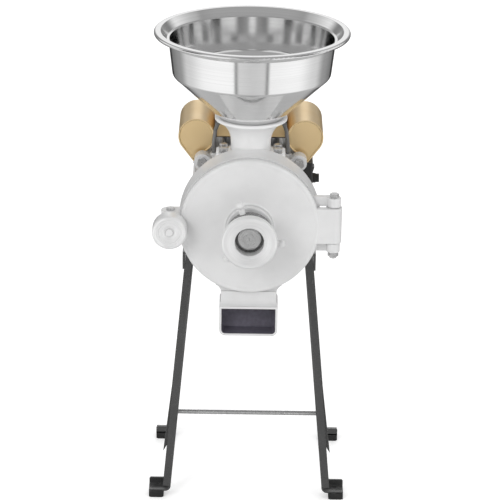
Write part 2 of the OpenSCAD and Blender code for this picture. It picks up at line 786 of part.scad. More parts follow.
// Round door: rounded edge, shallow dish, threaded boss, hinge knuckle and slotted lug
module front_door() {
    lug_x = -clamp_x - 13;
    face = concat(
        [[sleeve_r + fit, -boss_h], [boss_r - 1, -boss_h], [boss_r, -boss_h + 1], [boss_r, door_dish - 1.5],
         [boss_r + 2.5, door_dish], [door_r - 12, door_dish], [door_r - 7, 0], [door_r - door_edge, 0]],
        arc([door_r - door_edge, door_edge], door_edge, -90, 0, 6),
        [[door_r, door_t - 1], [door_r - 1, door_t], [boss_r, door_t], [boss_r, door_t + boss_back],
         [sleeve_r + fit, door_t + boss_back]]);
    color("lightgray") difference() {
        union() {
            on_axis(0) rotate_extrude($fn = 120) polygon(face);
            translate([hinge_x, at(chamber_front_d), knuckle_z]) cylinder(r = knuckle_r, h = knuckle_h);
            translate([door_r - 8, at(0.5), knuckle_z]) cube([hinge_x - door_r + 8, door_t - 0.5, knuckle_h]);
            intersection() {
                union() {
                    translate([lug_x, at(-2), axis_h - lug_h / 2]) {
                        cube([7 - door_r - lug_x, door_t + 2, lug_h]);
                        cube([-chamber_r - 1.3 - lug_x, 16, lug_h]);
                    }
                }
                translate([-clamp_x, at(clamp_d), axis_h - lug_h]) cylinder(r = clamp_d, h = 2 * lug_h);
                translate([-clamp_x + 3, at(0) - 10, axis_h]) rotate([-90, 0, 0]) union() {
                    cylinder(r = lug_h / 2, h = 40);
                    translate([0, -lug_h / 2, 0]) cube([30, lug_h, 40]);
                }
            }
        }
        on_axis(-boss_h - 1) cylinder(r = sleeve_r + fit, h = boss_h + door_t + boss_back + 2);
        translate([hinge_x, at(chamber_front_d), knuckle_z - 1]) {
            cylinder(r = hinge_pin_r + fit, h = knuckle_h + 2);
            cylinder(r = hinge_pin_r + 1, h = 10);
        }
        translate([-clamp_x, at(0) - 10, axis_h]) rotate([-90, 0, 0]) cylinder(r = rod_r + play, h = 40);
        translate([-clamp_x - clamp_d, at(0) - 10, axis_h - rod_r - play])
            cube([clamp_d, 40, 2 * (rod_r + play)]);
    }
}

module door_gasket() {
    color("black") on_axis(door_t) ring(door_r - 1.5, door_r - 1.5 - gasket_w, gasket_t);
}

module hinge_pin() {
    color("silver") translate([hinge_x, at(chamber_front_d), 0]) {
        translate([0, 0, hinge_low - hinge_nut_t - 2.5])
            cylinder(r = hinge_pin_r, h = hinge_top - hinge_low + hinge_nut_t + 3.5);
        translate([0, 0, hinge_top]) hex_head(1.35 * hinge_pin_r, 5);
    }
}

module hinge_nut() {
    color("silver") translate([hinge_x, at(chamber_front_d), hinge_low - hinge_nut_t]) difference() {
        hex_head(1.6 * hinge_pin_r, hinge_nut_t);
        translate([0, 0, -1]) cylinder(r = hinge_pin_r + seat, h = hinge_nut_t + 2);
    }
}

module adjusting_sleeve() {
    color("dimgray") on_axis(sleeve_front_d) ring(sleeve_r, spindle_r + fit, sleeve_back_d - sleeve_front_d);
}

// Dished wheel with a rounded edge, seated on the sleeve's front end
module hand_wheel() {
    edge = 3;
    profile = concat(
        [[wheel_hole_r, sleeve_front_d + wheel_front], [wheel_hole_r, wheel_dish],
         [wheel_hole_r + 3, wheel_dish - 0.6],
         [(wheel_hole_r + wheel_r) / 2 + 1, wheel_dish - 2], [wheel_r - edge - 1, 0]],
        arc([wheel_r - edge, edge], edge, -90, 0, 6),
        arc([wheel_r - edge, wheel_t - edge], edge, 0, 90, 6),
        [[sleeve_r + seat, wheel_t], [sleeve_r + seat, sleeve_front_d + wheel_front]]);
    color("gainsboro") on_axis(-wheel_front) rotate_extrude($fn = 96) polygon(profile);
}

// Spindle that carries the thrust ball in its rear end
module thrust_spindle() {
    length = ball_d + 1 - spindle_front_d;
    color("silver") on_axis(spindle_front_d) difference() {
        rotate_extrude() polygon(concat([[0, 0], [spindle_r - 2, 0]], arc([spindle_r - 2, 2], 2, -90, 0, 4),
            [[spindle_r, length], [0, length]]));
        translate([0, 0, ball_d - spindle_front_d]) sphere(r = ball_r + seat);
        translate([0, 0, -1]) cylinder(r1 = 3, r2 = 0.5, h = 3);
    }
}

module thrust_ball() {
    color("white") on_axis(ball_d) sphere(r = ball_r);
}

// Three-armed ring that locks the sleeve
module lock_ring() {
    color("silver") on_axis(-ring_front - ring_t / 2) difference() {
        union() {
            cylinder(r = ring_hub_r, h = ring_t);
            for (i = [0:2]) rotate([0, 0, -ring_angle + 120 * i]) translate([0, 0, ring_t / 2]) {
                translate([ring_hub_r - 3, 0, 0]) rotate([0, 90, 0])
                    cylinder(r = 4, h = ring_arm_r - ring_hub_r + 3);
                translate([ring_arm_r, 0, 0]) sphere(r = ring_ball_r);
            }
        }
        translate([0, 0, -1]) cylinder(r = sleeve_r + fit, h = ring_t + 2);
    }
}

// Eye bolt, closed position: its rod points to the front
module swing_bolt() {
    color("silver") translate([-clamp_x, at(clamp_d), axis_h]) difference() {
        union() {
            translate([0, 0, -eye_h / 2]) cylinder(r = eye_r, h = eye_h);
            rotate([90, 0, 0]) cylinder(r = rod_r, h = rod_l);
        }
        translate([0, 0, -eye_h]) cylinder(r = clamp_pin_r + fit, h = 2 * eye_h);
    }
}

module clamp_pin() {
    color("silver") translate([-clamp_x, at(clamp_d), 0]) {
        translate([0, 0, ear_low - 3]) cylinder(r = clamp_pin_r, h = ear_top - ear_low + 4);
        translate([0, 0, ear_top]) cylinder(r1 = clamp_pin_r + 2, r2 = clamp_pin_r + 1, h = 3);
        translate([0, 0, ear_low - 4]) cylinder(r = clamp_pin_r + 1.5, h = 4);
    }
}

module clamp_washer() {
    color("silver") translate([-clamp_x, at(clamp_d) - washer_face, axis_h]) rotate([90, 0, 0])
        ring(2.6 * rod_r, rod_r + fit, washer_t);
}

// Round hand nut, dished in rings towards its thread
module clamp_nut() {
    edge = 3;
    profile = concat([[rod_r + fit, 0], [nut_r - edge, 0]],
        arc([nut_r - edge, edge], edge, -90, 0, 6),
        arc([nut_r - edge, nut_l - edge], edge, 0, 90, 6),
        [[nut_r - edge - 3, nut_l - 1], [nut_r - edge - 4, nut_l - 3.5], [rod_r + 5, nut_l - 5],
         [rod_r + 4, nut_l - 3.5], [rod_r + fit, nut_l - 4]]);
    color("gainsboro") translate([-clamp_x, at(clamp_d) - nut_face, axis_h]) rotate([90, 0, 0])
        rotate_extrude() polygon(profile);
}

// Turns its children's Z axis into the shaft's direction, at a place along Y
module on_shaft(y) { translate([0, y, axis_h]) rotate([-90, 0, 0]) children(); }

// Places children at the four feet holes of the motor
module at_motor_bolts() {
    for (x = [-1, 1], y = [-1, 1]) translate([x * foot_spacing / 2, bolt_y + y * bolt_spacing / 2, 0])
        children();
}

// Finned frame with two feet
module motor_frame() {
    base_w = 28;
    base_l = bolt_spacing + 22;
    color("lightgray") difference() {
        union() {
            on_shaft(frame_y) cylinder(r = frame_r, h = frame_l, $fn = 96);
            difference() {
                on_shaft(frame_y + 4) for (i = [0:fin_count - 1]) rotate([0, 0, 360 * (i + 0.5) / fin_count])
                    translate([frame_r - 2, -fin_t / 2, 0]) cube([motor_r - frame_r + 2, fin_t, frame_l - 8]);
                translate([0, switch_y - 1, switch_z - switch_h / 2 - 1])
                    cube([2 * motor_r, switch_l + 2, switch_h + 2]);
            }
            for (s = [-1, 1]) translate([s * foot_spacing / 2, bolt_y - base_l / 2, rail_top]) {
                translate([-base_w / 2, 0, 0]) cube([base_w, base_l, motor_foot_t]);
                translate([-s * 12.5 - 5, 0, 2]) cube([10, base_l, 50]);
            }
        }
        on_shaft(frame_y - 1) cylinder(r = stator_r + seat, h = frame_l + 2, $fn = 96);
        translate([0, 0, rail_top - 1]) at_motor_bolts()
            cylinder(r = motor_bolt_r + screw_play, h = motor_foot_t + 2);
    }
}

module stator_core() {
    slots = 24;
    color("slategray") on_shaft(core_y) difference() {
        cylinder(r = stator_r, h = core_l);
        translate([0, 0, -1]) cylinder(r = stator_bore_r, h = core_l + 2);
        for (i = [0:slots - 1]) rotate([0, 0, 360 * i / slots]) translate([stator_bore_r + 3, -1.8, -1])
            cube([11, 3.6, core_l + 2]);
    }
}

// End turns of the windings, one ring at each face of the core
module stator_windings() {
    turns = 16;
    color("darkorange") for (y = [core_y - turns, core_y + core_l]) on_shaft(y) rotate_extrude()
        translate([stator_bore_r + 3, 0]) union() {
            translate([3, 0]) square([9, turns]);
            translate([0, 3]) square([15, turns - 6]);
            for (x = [3, 12], z = [3, turns - 3]) translate([x, z]) circle(r = 3, $fn = 20);
        }
}

// Front end shield: four ears, bearing seat, hollow towards the windings, and two bosses for the leads
module front_bell() {
    color("lightgray") difference() {
        union() {
            on_shaft(motor_y) {
                cylinder(r = motor_r, h = bell_ear_t);
                cylinder(r = motor_r - 4, h = bell_l - 6);
                cylinder(r = frame_r + 4, h = bell_l);
                mirror([0, 1, 0]) eared_flange(motor_r - 2, bell_ear_t);
            }
            for (s = [-1, 1]) translate([s * lead_x, lead_y, lead_seat_z - lead_boss_h])
                cylinder(r = 2 * lead_r, h = lead_boss_h);
        }
        on_shaft(motor_y) {
            translate([0, 0, 7]) difference() {
                cylinder(r = frame_r - 5, h = bell_l);
                translate([0, 0, -1]) cylinder(r = bearing_r + 6, h = bearing_w - 2);
            }
            translate([0, 0, 3]) cylinder(r = bearing_r + seat, h = bell_l);
            translate([0, 0, -1]) cylinder(r = journal_r + 1.5, h = bell_l);
            translate([0, 0, -1]) mirror([0, 1, 0]) at_flange_ears()
                cylinder(r = head_bolt_r + screw_play, h = bell_ear_t + 6);
        }
    }
}

// Rear end shield with its bearing seat and slanted rim
module rear_bell() {
    color("lightgray") on_shaft(rear_y) difference() {
        union() {
            cylinder(r = frame_r + 4, h = rear_bell_l - 4);
            cylinder(r = frame_r - 1, h = rear_bell_l);
            for (a = [45:90:315]) rotate([0, 0, a]) translate([frame_r, 0, 0])
                cylinder(r = 7, h = rear_bell_l - 8);
        }
        translate([0, 0, -1]) difference() {
            cylinder(r = frame_r - 4, h = rear_bell_l - 6);
            cylinder(r = bearing_r + 6, h = rear_bell_l);
        }
        translate([0, 0, -1]) cylinder(r = bearing_r + seat, h = bearing_w + 1);
        translate([0, 0, -1]) cylinder(r = journal_r + 1.5, h = rear_bell_l + 2);
        for (a = [45:90:315]) rotate([0, 0, a]) translate([frame_r + 1, 0, 0]) {
            translate([0, 0, -1]) cylinder(r = 2.5 + screw_play, h = rear_bell_l + 2);
            translate([0, 0, rear_bell_l - 8]) cylinder(r = 4.8, h = 9);
        }
    }
}

module bell_screws() {
    color("silver") on_shaft(rear_y + rear_bell_l - 8) for (a = [45:90:315]) rotate([0, 0, a])
        translate([frame_r + 1, 0, 0]) {
            cylinder(r = 4.4, h = 3.4);
            translate([0, 0, -rear_bell_l + 8]) cylinder(r = 2.5, h = rear_bell_l - 7);
        }
}

// One ball bearing: grooved rings with their row of balls fused between them
module bearing() {
    difference() {
        ring(bearing_r, journal_r + fit, bearing_w);
        for (z = [-1, bearing_w - 2]) translate([0, 0, z]) ring(bearing_r - 4, journal_r + 4, 3);
    }
}

module front_bearing() { color("silver") on_shaft(motor_y + 3) bearing(); }
module rear_bearing() { color("silver") on_shaft(rear_y) bearing(); }

// Stepped shaft from the running disc to the fan
module main_shaft() {
    step_d = barrel_end_d;
    end_y = fan_y + 24;
    color("silver") difference() {
        union() {
            on_axis(nose_d) cylinder(r = shaft_r, h = step_d - nose_d + 1);
            on_axis(step_d) cylinder(r = journal_r, h = fan_y - at(step_d));
            on_shaft(fan_y - 1) cylinder(r = fan_seat_r, h = end_y - fan_y + 1);
        }
        on_axis(running_front_d + disc_t / 2) rotate([90, 0, 0])
            cylinder(r = drive_pin_r + seat, h = 3 * shaft_r, center = true);
    }
}

// Laminated rotor with short-circuit rings and their vanes
module rotor_core() {
    ring_l = 8;
    color("gray") on_shaft(core_y) difference() {
        union() {
            cylinder(r = stator_bore_r - air_gap, h = core_l);
            for (z = [-ring_l, core_l]) translate([0, 0, z])
                cylinder(r = stator_bore_r - air_gap - 4, h = ring_l);
            for (i = [0:7]) rotate([0, 0, 45 * i]) translate([24, -1.5, core_l + ring_l - 1]) cube([11, 3, 7]);
        }
        translate([0, 0, -ring_l - 1]) cylinder(r = journal_r + seat, h = core_l + 2 * ring_l + 2);
    }
}

// Centrifugal start switch: hub with two weights
module start_switch() {
    color("peru") on_shaft(core_y + core_l + 16) difference() {
        union() {
            cylinder(r = 19, h = 5);
            for (s = [-1, 1]) translate([s * 20 - 4, -9, 0]) cube([8, 18, 5]);
        }
        translate([0, 0, -1]) cylinder(r = journal_r + seat, h = 8);
    }
}

// Radial fan with straight blades
module cooling_fan() {
    hub_r = 16;
    color("darkslategray") on_shaft(fan_y + 6) difference() {
        union() {
            cylinder(r = hub_r, h = 16);
            cylinder(r = fan_r - 4, h = 2.5);
            for (i = [0:fan_blades - 1]) rotate([0, 0, 360 * i / fan_blades]) translate([hub_r - 2, -1.25, 0])
                cube([fan_r - hub_r + 2, 2.5, 16]);
        }
        translate([0, 0, -1]) cylinder(r = fan_seat_r + seat, h = 18);
    }
}

// Fan cover with slotted rear face and a seat over the end shield
module fan_cover() {
    r = motor_r - 1;
    l = cover_l + cover_on_rim - 1;
    corner = 9;
    wall = 1.5;
    color("silver") on_shaft(cover_screw_y) difference() {
        rotate_extrude($fn = 96) polygon(concat(
            [[r - wall, 0], [r, 0]],
            arc([r - corner, l - corner], corner, 0, 90, 5),
            [[0, l], [0, l - wall]],
            arc([r - corner, l - corner], corner - wall, 90, 0, 5)));
        for (k = [0:3], i = [0:5]) rotate([0, 0, 60 * i + 30]) translate([0, 0, l - 11]) difference() {
            ring(22 + 12 * k, 16 + 12 * k, 20);
            for (a = [25, -25 - 180]) rotate([0, 0, a]) translate([-100, 0, -1]) cube([200, 100, 22]);
        }
        for (a = [0:90:270]) rotate([0, 0, a]) translate([r - 3, 0, 3.5]) rotate([0, 90, 0])
            cylinder(r = 2 + screw_play, h = 6);
    }
}

module fan_cover_screws() {
    color("silver") on_shaft(cover_screw_y) for (a = [0:90:270]) rotate([0, 0, a])
        translate([0, 0, 3.5]) rotate([0, 90, 0]) {
            translate([0, 0, motor_r - 1]) cylinder(r = 4, h = 2);
            translate([0, 0, frame_r + 4.1]) cylinder(r = 2, h = motor_r - frame_r - 4.6);
        }
}

// Bolts from the motor's front end shield into the flange, each with its nut
module head_bolts() {
    head_across = 1.85 * head_bolt_r;
    head_t = 5.5;
    grip = flange_t + bell_ear_t;
    color("silver") on_axis(flange_d) mirror([0, 1, 0]) at_flange_ears() {
        translate([0, 0, -head_t]) hex_head(head_across, head_t);
        cylinder(r = head_bolt_r, h = grip + head_nut_t + 0.5);
        translate([0, 0, grip]) hex_head(head_across, head_nut_t);
    }
}

// Teardrop section of a capacitor cover, its tip down and outwards
module teardrop(r) {
    tip = [4, cap_tip_h - cap_h];
    reach = norm(tip);
    lean = atan2(tip.y, tip.x);
    half = acos(cap_cover_r / reach);
    k = r / cap_cover_r;
    circle(r = r);
    polygon([[0, 0], r * [cos(lean - half), sin(lean - half)], k * tip,
        r * [cos(lean + half), sin(lean + half)]]);
}

// Capacitor cover: thin tube with a rolled front edge and an inset front disc
module capacitor_cover(side) {
    mirror([side < 0 ? 1 : 0, 0, 0]) translate([cap_x, cover_y + cap_cover_l, axis_h + cap_h])
        rotate([90, 0, 0]) {
        difference() {
            linear_extrude(cap_cover_l) teardrop(cap_cover_r);
            translate([0, 0, cover_wall]) linear_extrude(cap_cover_l) teardrop(cap_cover_r - cover_wall);
        }
        translate([0, 0, cap_cover_l - 5]) cylinder(r = cap_cover_r - cover_wall + 0.05, h = cover_wall);
    }
}

module capacitor_cover_left() { color("darkkhaki") capacitor_cover(-1); }
module capacitor_cover_right() { color("darkkhaki") capacitor_cover(1); }

// Capacitor can with its two terminals, seated on the cover's rear wall
module capacitor(side) {
    can = cap_cover_l - cover_wall - 22;
    translate([side * cap_x, cover_y + cap_cover_l - cover_wall, axis_h + cap_h]) rotate([90, 0, 0]) {
        cylinder(r = cap_r, h = can);
        for (s = [-1, 1]) translate([6 * s - 3, -0.4, can]) cube([6, 0.8, 9]);
    }
}

module capacitor_left() { color("slategray") capacitor(-1); }
module capacitor_right() { color("slategray") capacitor(1); }

// Plate over the motor that carries the terminal box and both covers
module cover_bracket() {
    reach = cap_x - cap_cover_r - 0.4;
    color("gray") translate([0, 0, bracket_z]) {
        translate([-reach, box_y + 4, 0]) cube([2 * reach, box_l - 8, box_z - bracket_z]);
        for (s = [-1, 1]) translate([s * (reach - 0.75) - 0.75, box_y + 4, 0]) cube([1.5, box_l - 8, 9]);
    }
}

// Box over the windings' terminals: an open-bottomed cover with chamfered edges
module terminal_box() {
    module section(grow) {
        w = box_w / 2 - grow;
        polygon([[-w, -grow], [w, -grow], [w, box_h - box_chamfer], [w - box_chamfer, box_h - grow],
            [-w + box_chamfer, box_h - grow], [-w, box_h - box_chamfer]]);
    }
    color("darkkhaki") translate([0, box_y + box_l, box_z]) rotate([90, 0, 0]) difference() {
        linear_extrude(box_l) section(0);
        translate([0, 0, cover_wall]) linear_extrude(box_l - 2 * cover_wall) section(cover_wall);
    }
}

// Lead from the terminal box's front down into the front end shield, points for the right-hand side
lead_points = [[lead_x - 9, box_y - 0.3, lead_seat_z + 42], [lead_x - 8.5, box_y - 5, lead_seat_z + 42],
    [lead_x - 5, lead_y + 3, lead_seat_z + 39], [lead_x - 2, lead_y, lead_seat_z + 32],
    [lead_x - 1, lead_y - 1, lead_seat_z + 22], [lead_x, lead_y - 1, lead_seat_z + 14],
    [lead_x, lead_y, lead_seat_z + 6], [lead_x, lead_y, lead_seat_z + 0.2]];
module lead(side) {
    mirror([side < 0 ? 1 : 0, 0, 0]) sweep_tube(lead_points, lead_r);
}

module lead_left() { color("dimgray") lead(-1); }
module lead_right() { color("dimgray") lead(1); }

// Switch box on the motor's right side, hollowed to the frame's round
module switch_body() {
    in_x = 60;
    corner = 3;
    h = switch_h;
    color("black") difference() {
        translate([in_x, switch_y, switch_z - h / 2]) {
            translate([0, corner, 0]) cube([switch_x - in_x, switch_l - 2 * corner, h]);
            cube([switch_x - in_x - corner, switch_l, h]);
            for (y = [corner, switch_l - corner]) translate([switch_x - in_x - corner, y, 0])
                cylinder(r = corner, h = h);
        }
        on_shaft(switch_y - 1) cylinder(r = frame_r + seat, h = switch_l + 2, $fn = 96);
        translate([switch_x - rocker_hollow, rocker_y - play, switch_z - rocker_h / 2 - play])
            cube([rocker_hollow + 3, rocker_w + 2 * play, rocker_h + 2 * play]);
    }
}

// Rocker in its off position, tipped about its pivot
module switch_rocker() {
    half = rocker_h / 2 - 0.8;
    color("dimgray") translate([rocker_x, rocker_y, switch_z]) rotate([-90, 0, 0])
        rotate([0, 0, rocker_tilt]) linear_extrude(rocker_w) polygon([[-1.2, -half + 3], [-1.2, half - 3],
            [1, half - 0.4], [4.9, half], [3.4, 0], [4.9, -half], [1, -half + 0.4]]);
}

module cord_gland() {
    color("black") translate([switch_x, gland_y, gland_z]) rotate([0, 90, 0]) difference() {
        union() {
            hex_head(2 * gland_bore_r, gland_l / 2);
            cylinder(r = gland_bore_r + 2.4, h = gland_l);
        }
        translate([0, 0, 2]) cylinder(r = gland_bore_r, h = gland_l);
    }
}

// Angle rail, its top flange turned in
module rail(side) {
    s = rail_w / 2;
    mirror([side < 0 ? 1 : 0, 0, 0]) translate([0, rail_y, rail_top - rail_flange]) difference() {
        union() {
            translate([s - steel_t, 0, 0]) cube([steel_t, rail_l, rail_flange]);
            translate([s - rail_flange, 0, rail_flange - steel_t]) cube([rail_flange, rail_l, steel_t]);
        }
        translate([0, -rail_y, rail_flange - 10]) at_motor_bolts()
            cylinder(r = motor_bolt_r + screw_play, h = 20);
    }
}

module rail_left() { color("black") rail(-1); }
module rail_right() { color("black") rail(1); }

// Leg: a channel open to the outside, splayed to the side and the end, with a turned-out foot plate
module leg(side, end) {
    pitch = end < 0 ? pitch_front : pitch_rear;
    under = rail_top - steel_t;
    lean_y = atan(pitch);
    lean_x = atan(spread);
    foot_z = pad_t;
    bend_r = 9;
    bend_x = leg_x_floor - spread * (foot_z + bend_r) + bend_r;
    plate_l = foot_x - bend_x;
    y_foot = feet_span / 2;
    mirror([side < 0 ? 1 : 0, 0, 0]) mirror([0, end < 0 ? 1 : 0, 0]) difference() {
        union() {
            intersection() {
                translate([leg_x_floor, y_foot, 0]) rotate([lean_y, 0, 0]) rotate([0, -lean_x, 0]) {
                    translate([0, -leg_d, -30]) cube([leg_t, leg_d, rail_top + 90]);
                    for (y = [-leg_t, -leg_d]) translate([0, y, -30])
                        cube([leg_w, leg_t, rail_top + 90]);
                }
                translate([0, 0, foot_z + bend_r]) cube([400, 400, under - foot_z - bend_r]);
            }
            translate([bend_x, y_foot - leg_d + 1, foot_z + bend_r]) rotate([-90, 0, 0]) intersection() {
                ring(bend_r, bend_r - leg_t, leg_d - 1.4);
                translate([-2 * bend_r, 0, 0]) cube([2 * bend_r, 2 * bend_r, leg_d]);
            }
            translate([bend_x - 0.1, y_foot - leg_d + 1, foot_z]) cube([plate_l + 0.1, leg_d - 1.4, leg_t]);
            translate([bend_x, y_foot - leg_d + 1, foot_z]) rotate([90, 0, 0]) mirror([0, 0, 1])
                linear_extrude(leg_t) polygon([[0, 0], [plate_l, 0], [plate_l, 9], [plate_l - 2, 11], [10, 12],
                    [4, 26], [-5, 30], [-5, 8]]);
        }
        if (end < 0) translate([leg_x_floor - 30, -tie_y, tie_h]) rotate([0, 90, 0])
            cylinder(r = tie_r + screw_play, h = 60);
    }
}

module leg_front_left() { color("black") leg(-1, -1); }
module leg_front_right() { color("black") leg(1, -1); }
module leg_rear_left() { color("black") leg(-1, 1); }
module leg_rear_right() { color("black") leg(1, 1); }

module foot_pads() {
    color("black") for (x = [-1, 1], y = [-1, 1])
        translate([x * (foot_x - pad_l / 2), y * (feet_span - leg_d) / 2, 0])
            slab(pad_l, leg_d - 2, pad_t, 2);
}

module motor_bolts() {
    head_across = 1.85 * motor_bolt_r;
    color("silver") at_motor_bolts() {
        translate([0, 0, rail_top + motor_foot_t]) hex_head(head_across, 5);
        translate([0, 0, rail_top - 16]) cylinder(r = motor_bolt_r, h = 16 + motor_foot_t + 1);
        translate([0, 0, rail_top - steel_t - 6]) hex_head(head_across, 6);
    }
}

// Threaded rod between the front legs with its four nuts
module tie_rod() {
    web_x = leg_x_floor - spread * tie_h;
    color("silver") translate([0, tie_y, tie_h]) rotate([0, 90, 0]) {
        cylinder(r = tie_r, h = 2 * web_x + 30, center = true);
        for (s = [-1, 1]) {
            translate([0, 0, s * (web_x - 4.2) - 2.5]) hex_head(1.7 * tie_r, 5);
            translate([0, 0, s * (web_x + 6.8) - 2.5]) hex_head(1.7 * tie_r, 5);
        }
    }
}

hopper();
feed_throat();
throat_bolts();
head_housing();
feed_pillar();
discharge_spout();
fixed_disc();
disc_screws();
rotating_disc();
drive_pin();
feed_auger();
shaft_seal();
front_door();
door_gasket();
hinge_pin();
hinge_nut();
adjusting_sleeve();
hand_wheel();
thrust_spindle();
thrust_ball();
lock_ring();
swing_bolt();
clamp_pin();
clamp_washer();
clamp_nut();
motor_frame();
stator_core();
stator_windings();
front_bell();
rear_bell();
front_bearing();
rear_bearing();
main_shaft();
rotor_core();
start_switch();
cooling_fan();
fan_cover();
fan_cover_screws();
head_bolts();
bell_screws();
capacitor_cover_left();
capacitor_cover_right();
capacitor_left();
capacitor_right();
cover_bracket();
terminal_box();
lead_left();
lead_right();
switch_body();
switch_rocker();
cord_gland();
rail_left();
rail_right();
leg_front_left();
leg_front_right();
leg_rear_left();
leg_rear_right();
foot_pads();
motor_bolts();
tie_rod();
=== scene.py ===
"""Dresses the electric grain mill: its finishes, fine pieces, floor, light and camera.

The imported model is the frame: X to the right, Y from the door back to the fan, Z up. Finishes,
floor, lamps and camera are in metres. The fine pieces are drawn in millimetres in the same axes,
and scaled to metres when they are placed.
"""

import logging
import math
from dataclasses import dataclass
from enum import Enum
from typing import Iterable, Sequence, Union

import bmesh
import bpy
from mathutils import Matrix, Quaternion, Vector

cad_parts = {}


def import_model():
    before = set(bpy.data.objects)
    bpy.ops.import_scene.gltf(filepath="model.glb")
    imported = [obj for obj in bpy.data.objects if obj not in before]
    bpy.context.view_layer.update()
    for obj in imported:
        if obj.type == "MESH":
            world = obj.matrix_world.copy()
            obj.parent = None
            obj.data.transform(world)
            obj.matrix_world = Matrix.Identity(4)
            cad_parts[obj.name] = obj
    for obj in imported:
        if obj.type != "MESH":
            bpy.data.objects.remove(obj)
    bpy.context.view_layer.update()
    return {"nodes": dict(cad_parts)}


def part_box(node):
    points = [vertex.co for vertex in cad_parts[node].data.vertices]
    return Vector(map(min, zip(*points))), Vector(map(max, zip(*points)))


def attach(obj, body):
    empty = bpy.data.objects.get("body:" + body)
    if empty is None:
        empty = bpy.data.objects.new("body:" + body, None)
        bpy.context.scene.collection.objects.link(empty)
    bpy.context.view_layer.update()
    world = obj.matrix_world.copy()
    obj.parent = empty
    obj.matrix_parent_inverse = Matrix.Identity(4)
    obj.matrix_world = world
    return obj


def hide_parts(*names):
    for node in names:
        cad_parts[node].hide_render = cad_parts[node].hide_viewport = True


LOG = logging.getLogger("grain_mill")

Colour = tuple[float, float, float, float]
Point = tuple[float, float, float]
Spot = tuple[float, float]
Node = bpy.types.Node
Socket = bpy.types.NodeSocket
Value = Union[Socket, float, Colour, Point]
Ring = list[bmesh.types.BMVert]


def grey(value: float) -> Colour:
    """An opaque neutral colour."""
    return (value, value, value, 1.0)


def darker(colour: Colour, share: float) -> Colour:
    """The same opaque hue at a share of its brightness."""
    return (share * colour[0], share * colour[1], share * colour[2], 1.0)


class Axis(Enum):
    """The axis that a section is turned round or drawn out along."""

    Y = "y"
    Z = "z"

    def point(self, a: float, b: float, along: float) -> Point:
        """The point at a and b across the axis, in the order X, Y, Z, and at a place along it."""
        return (a, along, b) if self is Axis.Y else (a, b, along)


class Half(Enum):
    """A half of the mill, with the sign of its coordinate."""

    @property
    def word(self) -> str:
        """The half as it stands in the names of nodes."""
        return self.name.lower()


class Side(Half):
    """A side of the mill, with the sign of its X."""

    LEFT = -1
    RIGHT = 1


class End(Half):
    """An end of the mill, with the sign of its Y."""

    FRONT = -1
    REAR = 1


# ------------------------------------------------------------------------------------------------
# Shader graphs

COLOUR_PARTS = 4          # a colour has its opacity as a fourth part, a point has three parts
BEVEL_SAMPLES = 6
NOISE_MIDDLE = 0.5        # what a noise value comes to on average
GRAIN_DEPTH = 0.0002      # bump distance of the fine grain
WAVE_DEPTH = 0.002        # bump distance of the broad waves
LINE_DEPTH = 0.0001       # bump distance of turned lines
LINE_CHANGE = 0.0006      # how fast turned lines change along their turn
BROAD_LINES = 0.12        # scale of the broad lines as a share of the fine ones'
FINE_SHARE = 0.7          # weight of the fine lines in the streaks
BROAD_SHARE = 0.3         # weight of the broad lines
DUST_FACING = (0.2, 1.0)  # upward part of the normal between which dust sets in
DUST_BLOTCH = (0.35, 0.75)
DUST_SCALE = 130.0


class Effect(Enum):
    """The shader node groups that materials share."""

    SOFT_SKIN = "Soft Skin"
    SPIN_LINES = "Spin Lines"
    MOTTLE = "Mottle"
    DUST = "Dust"
    INSIDE_BOX = "Inside Box"


class Carries(Enum):
    """What a group's socket carries."""

    NUMBER = "NodeSocketFloat"
    VECTOR = "NodeSocketVector"
    COLOUR = "NodeSocketColor"


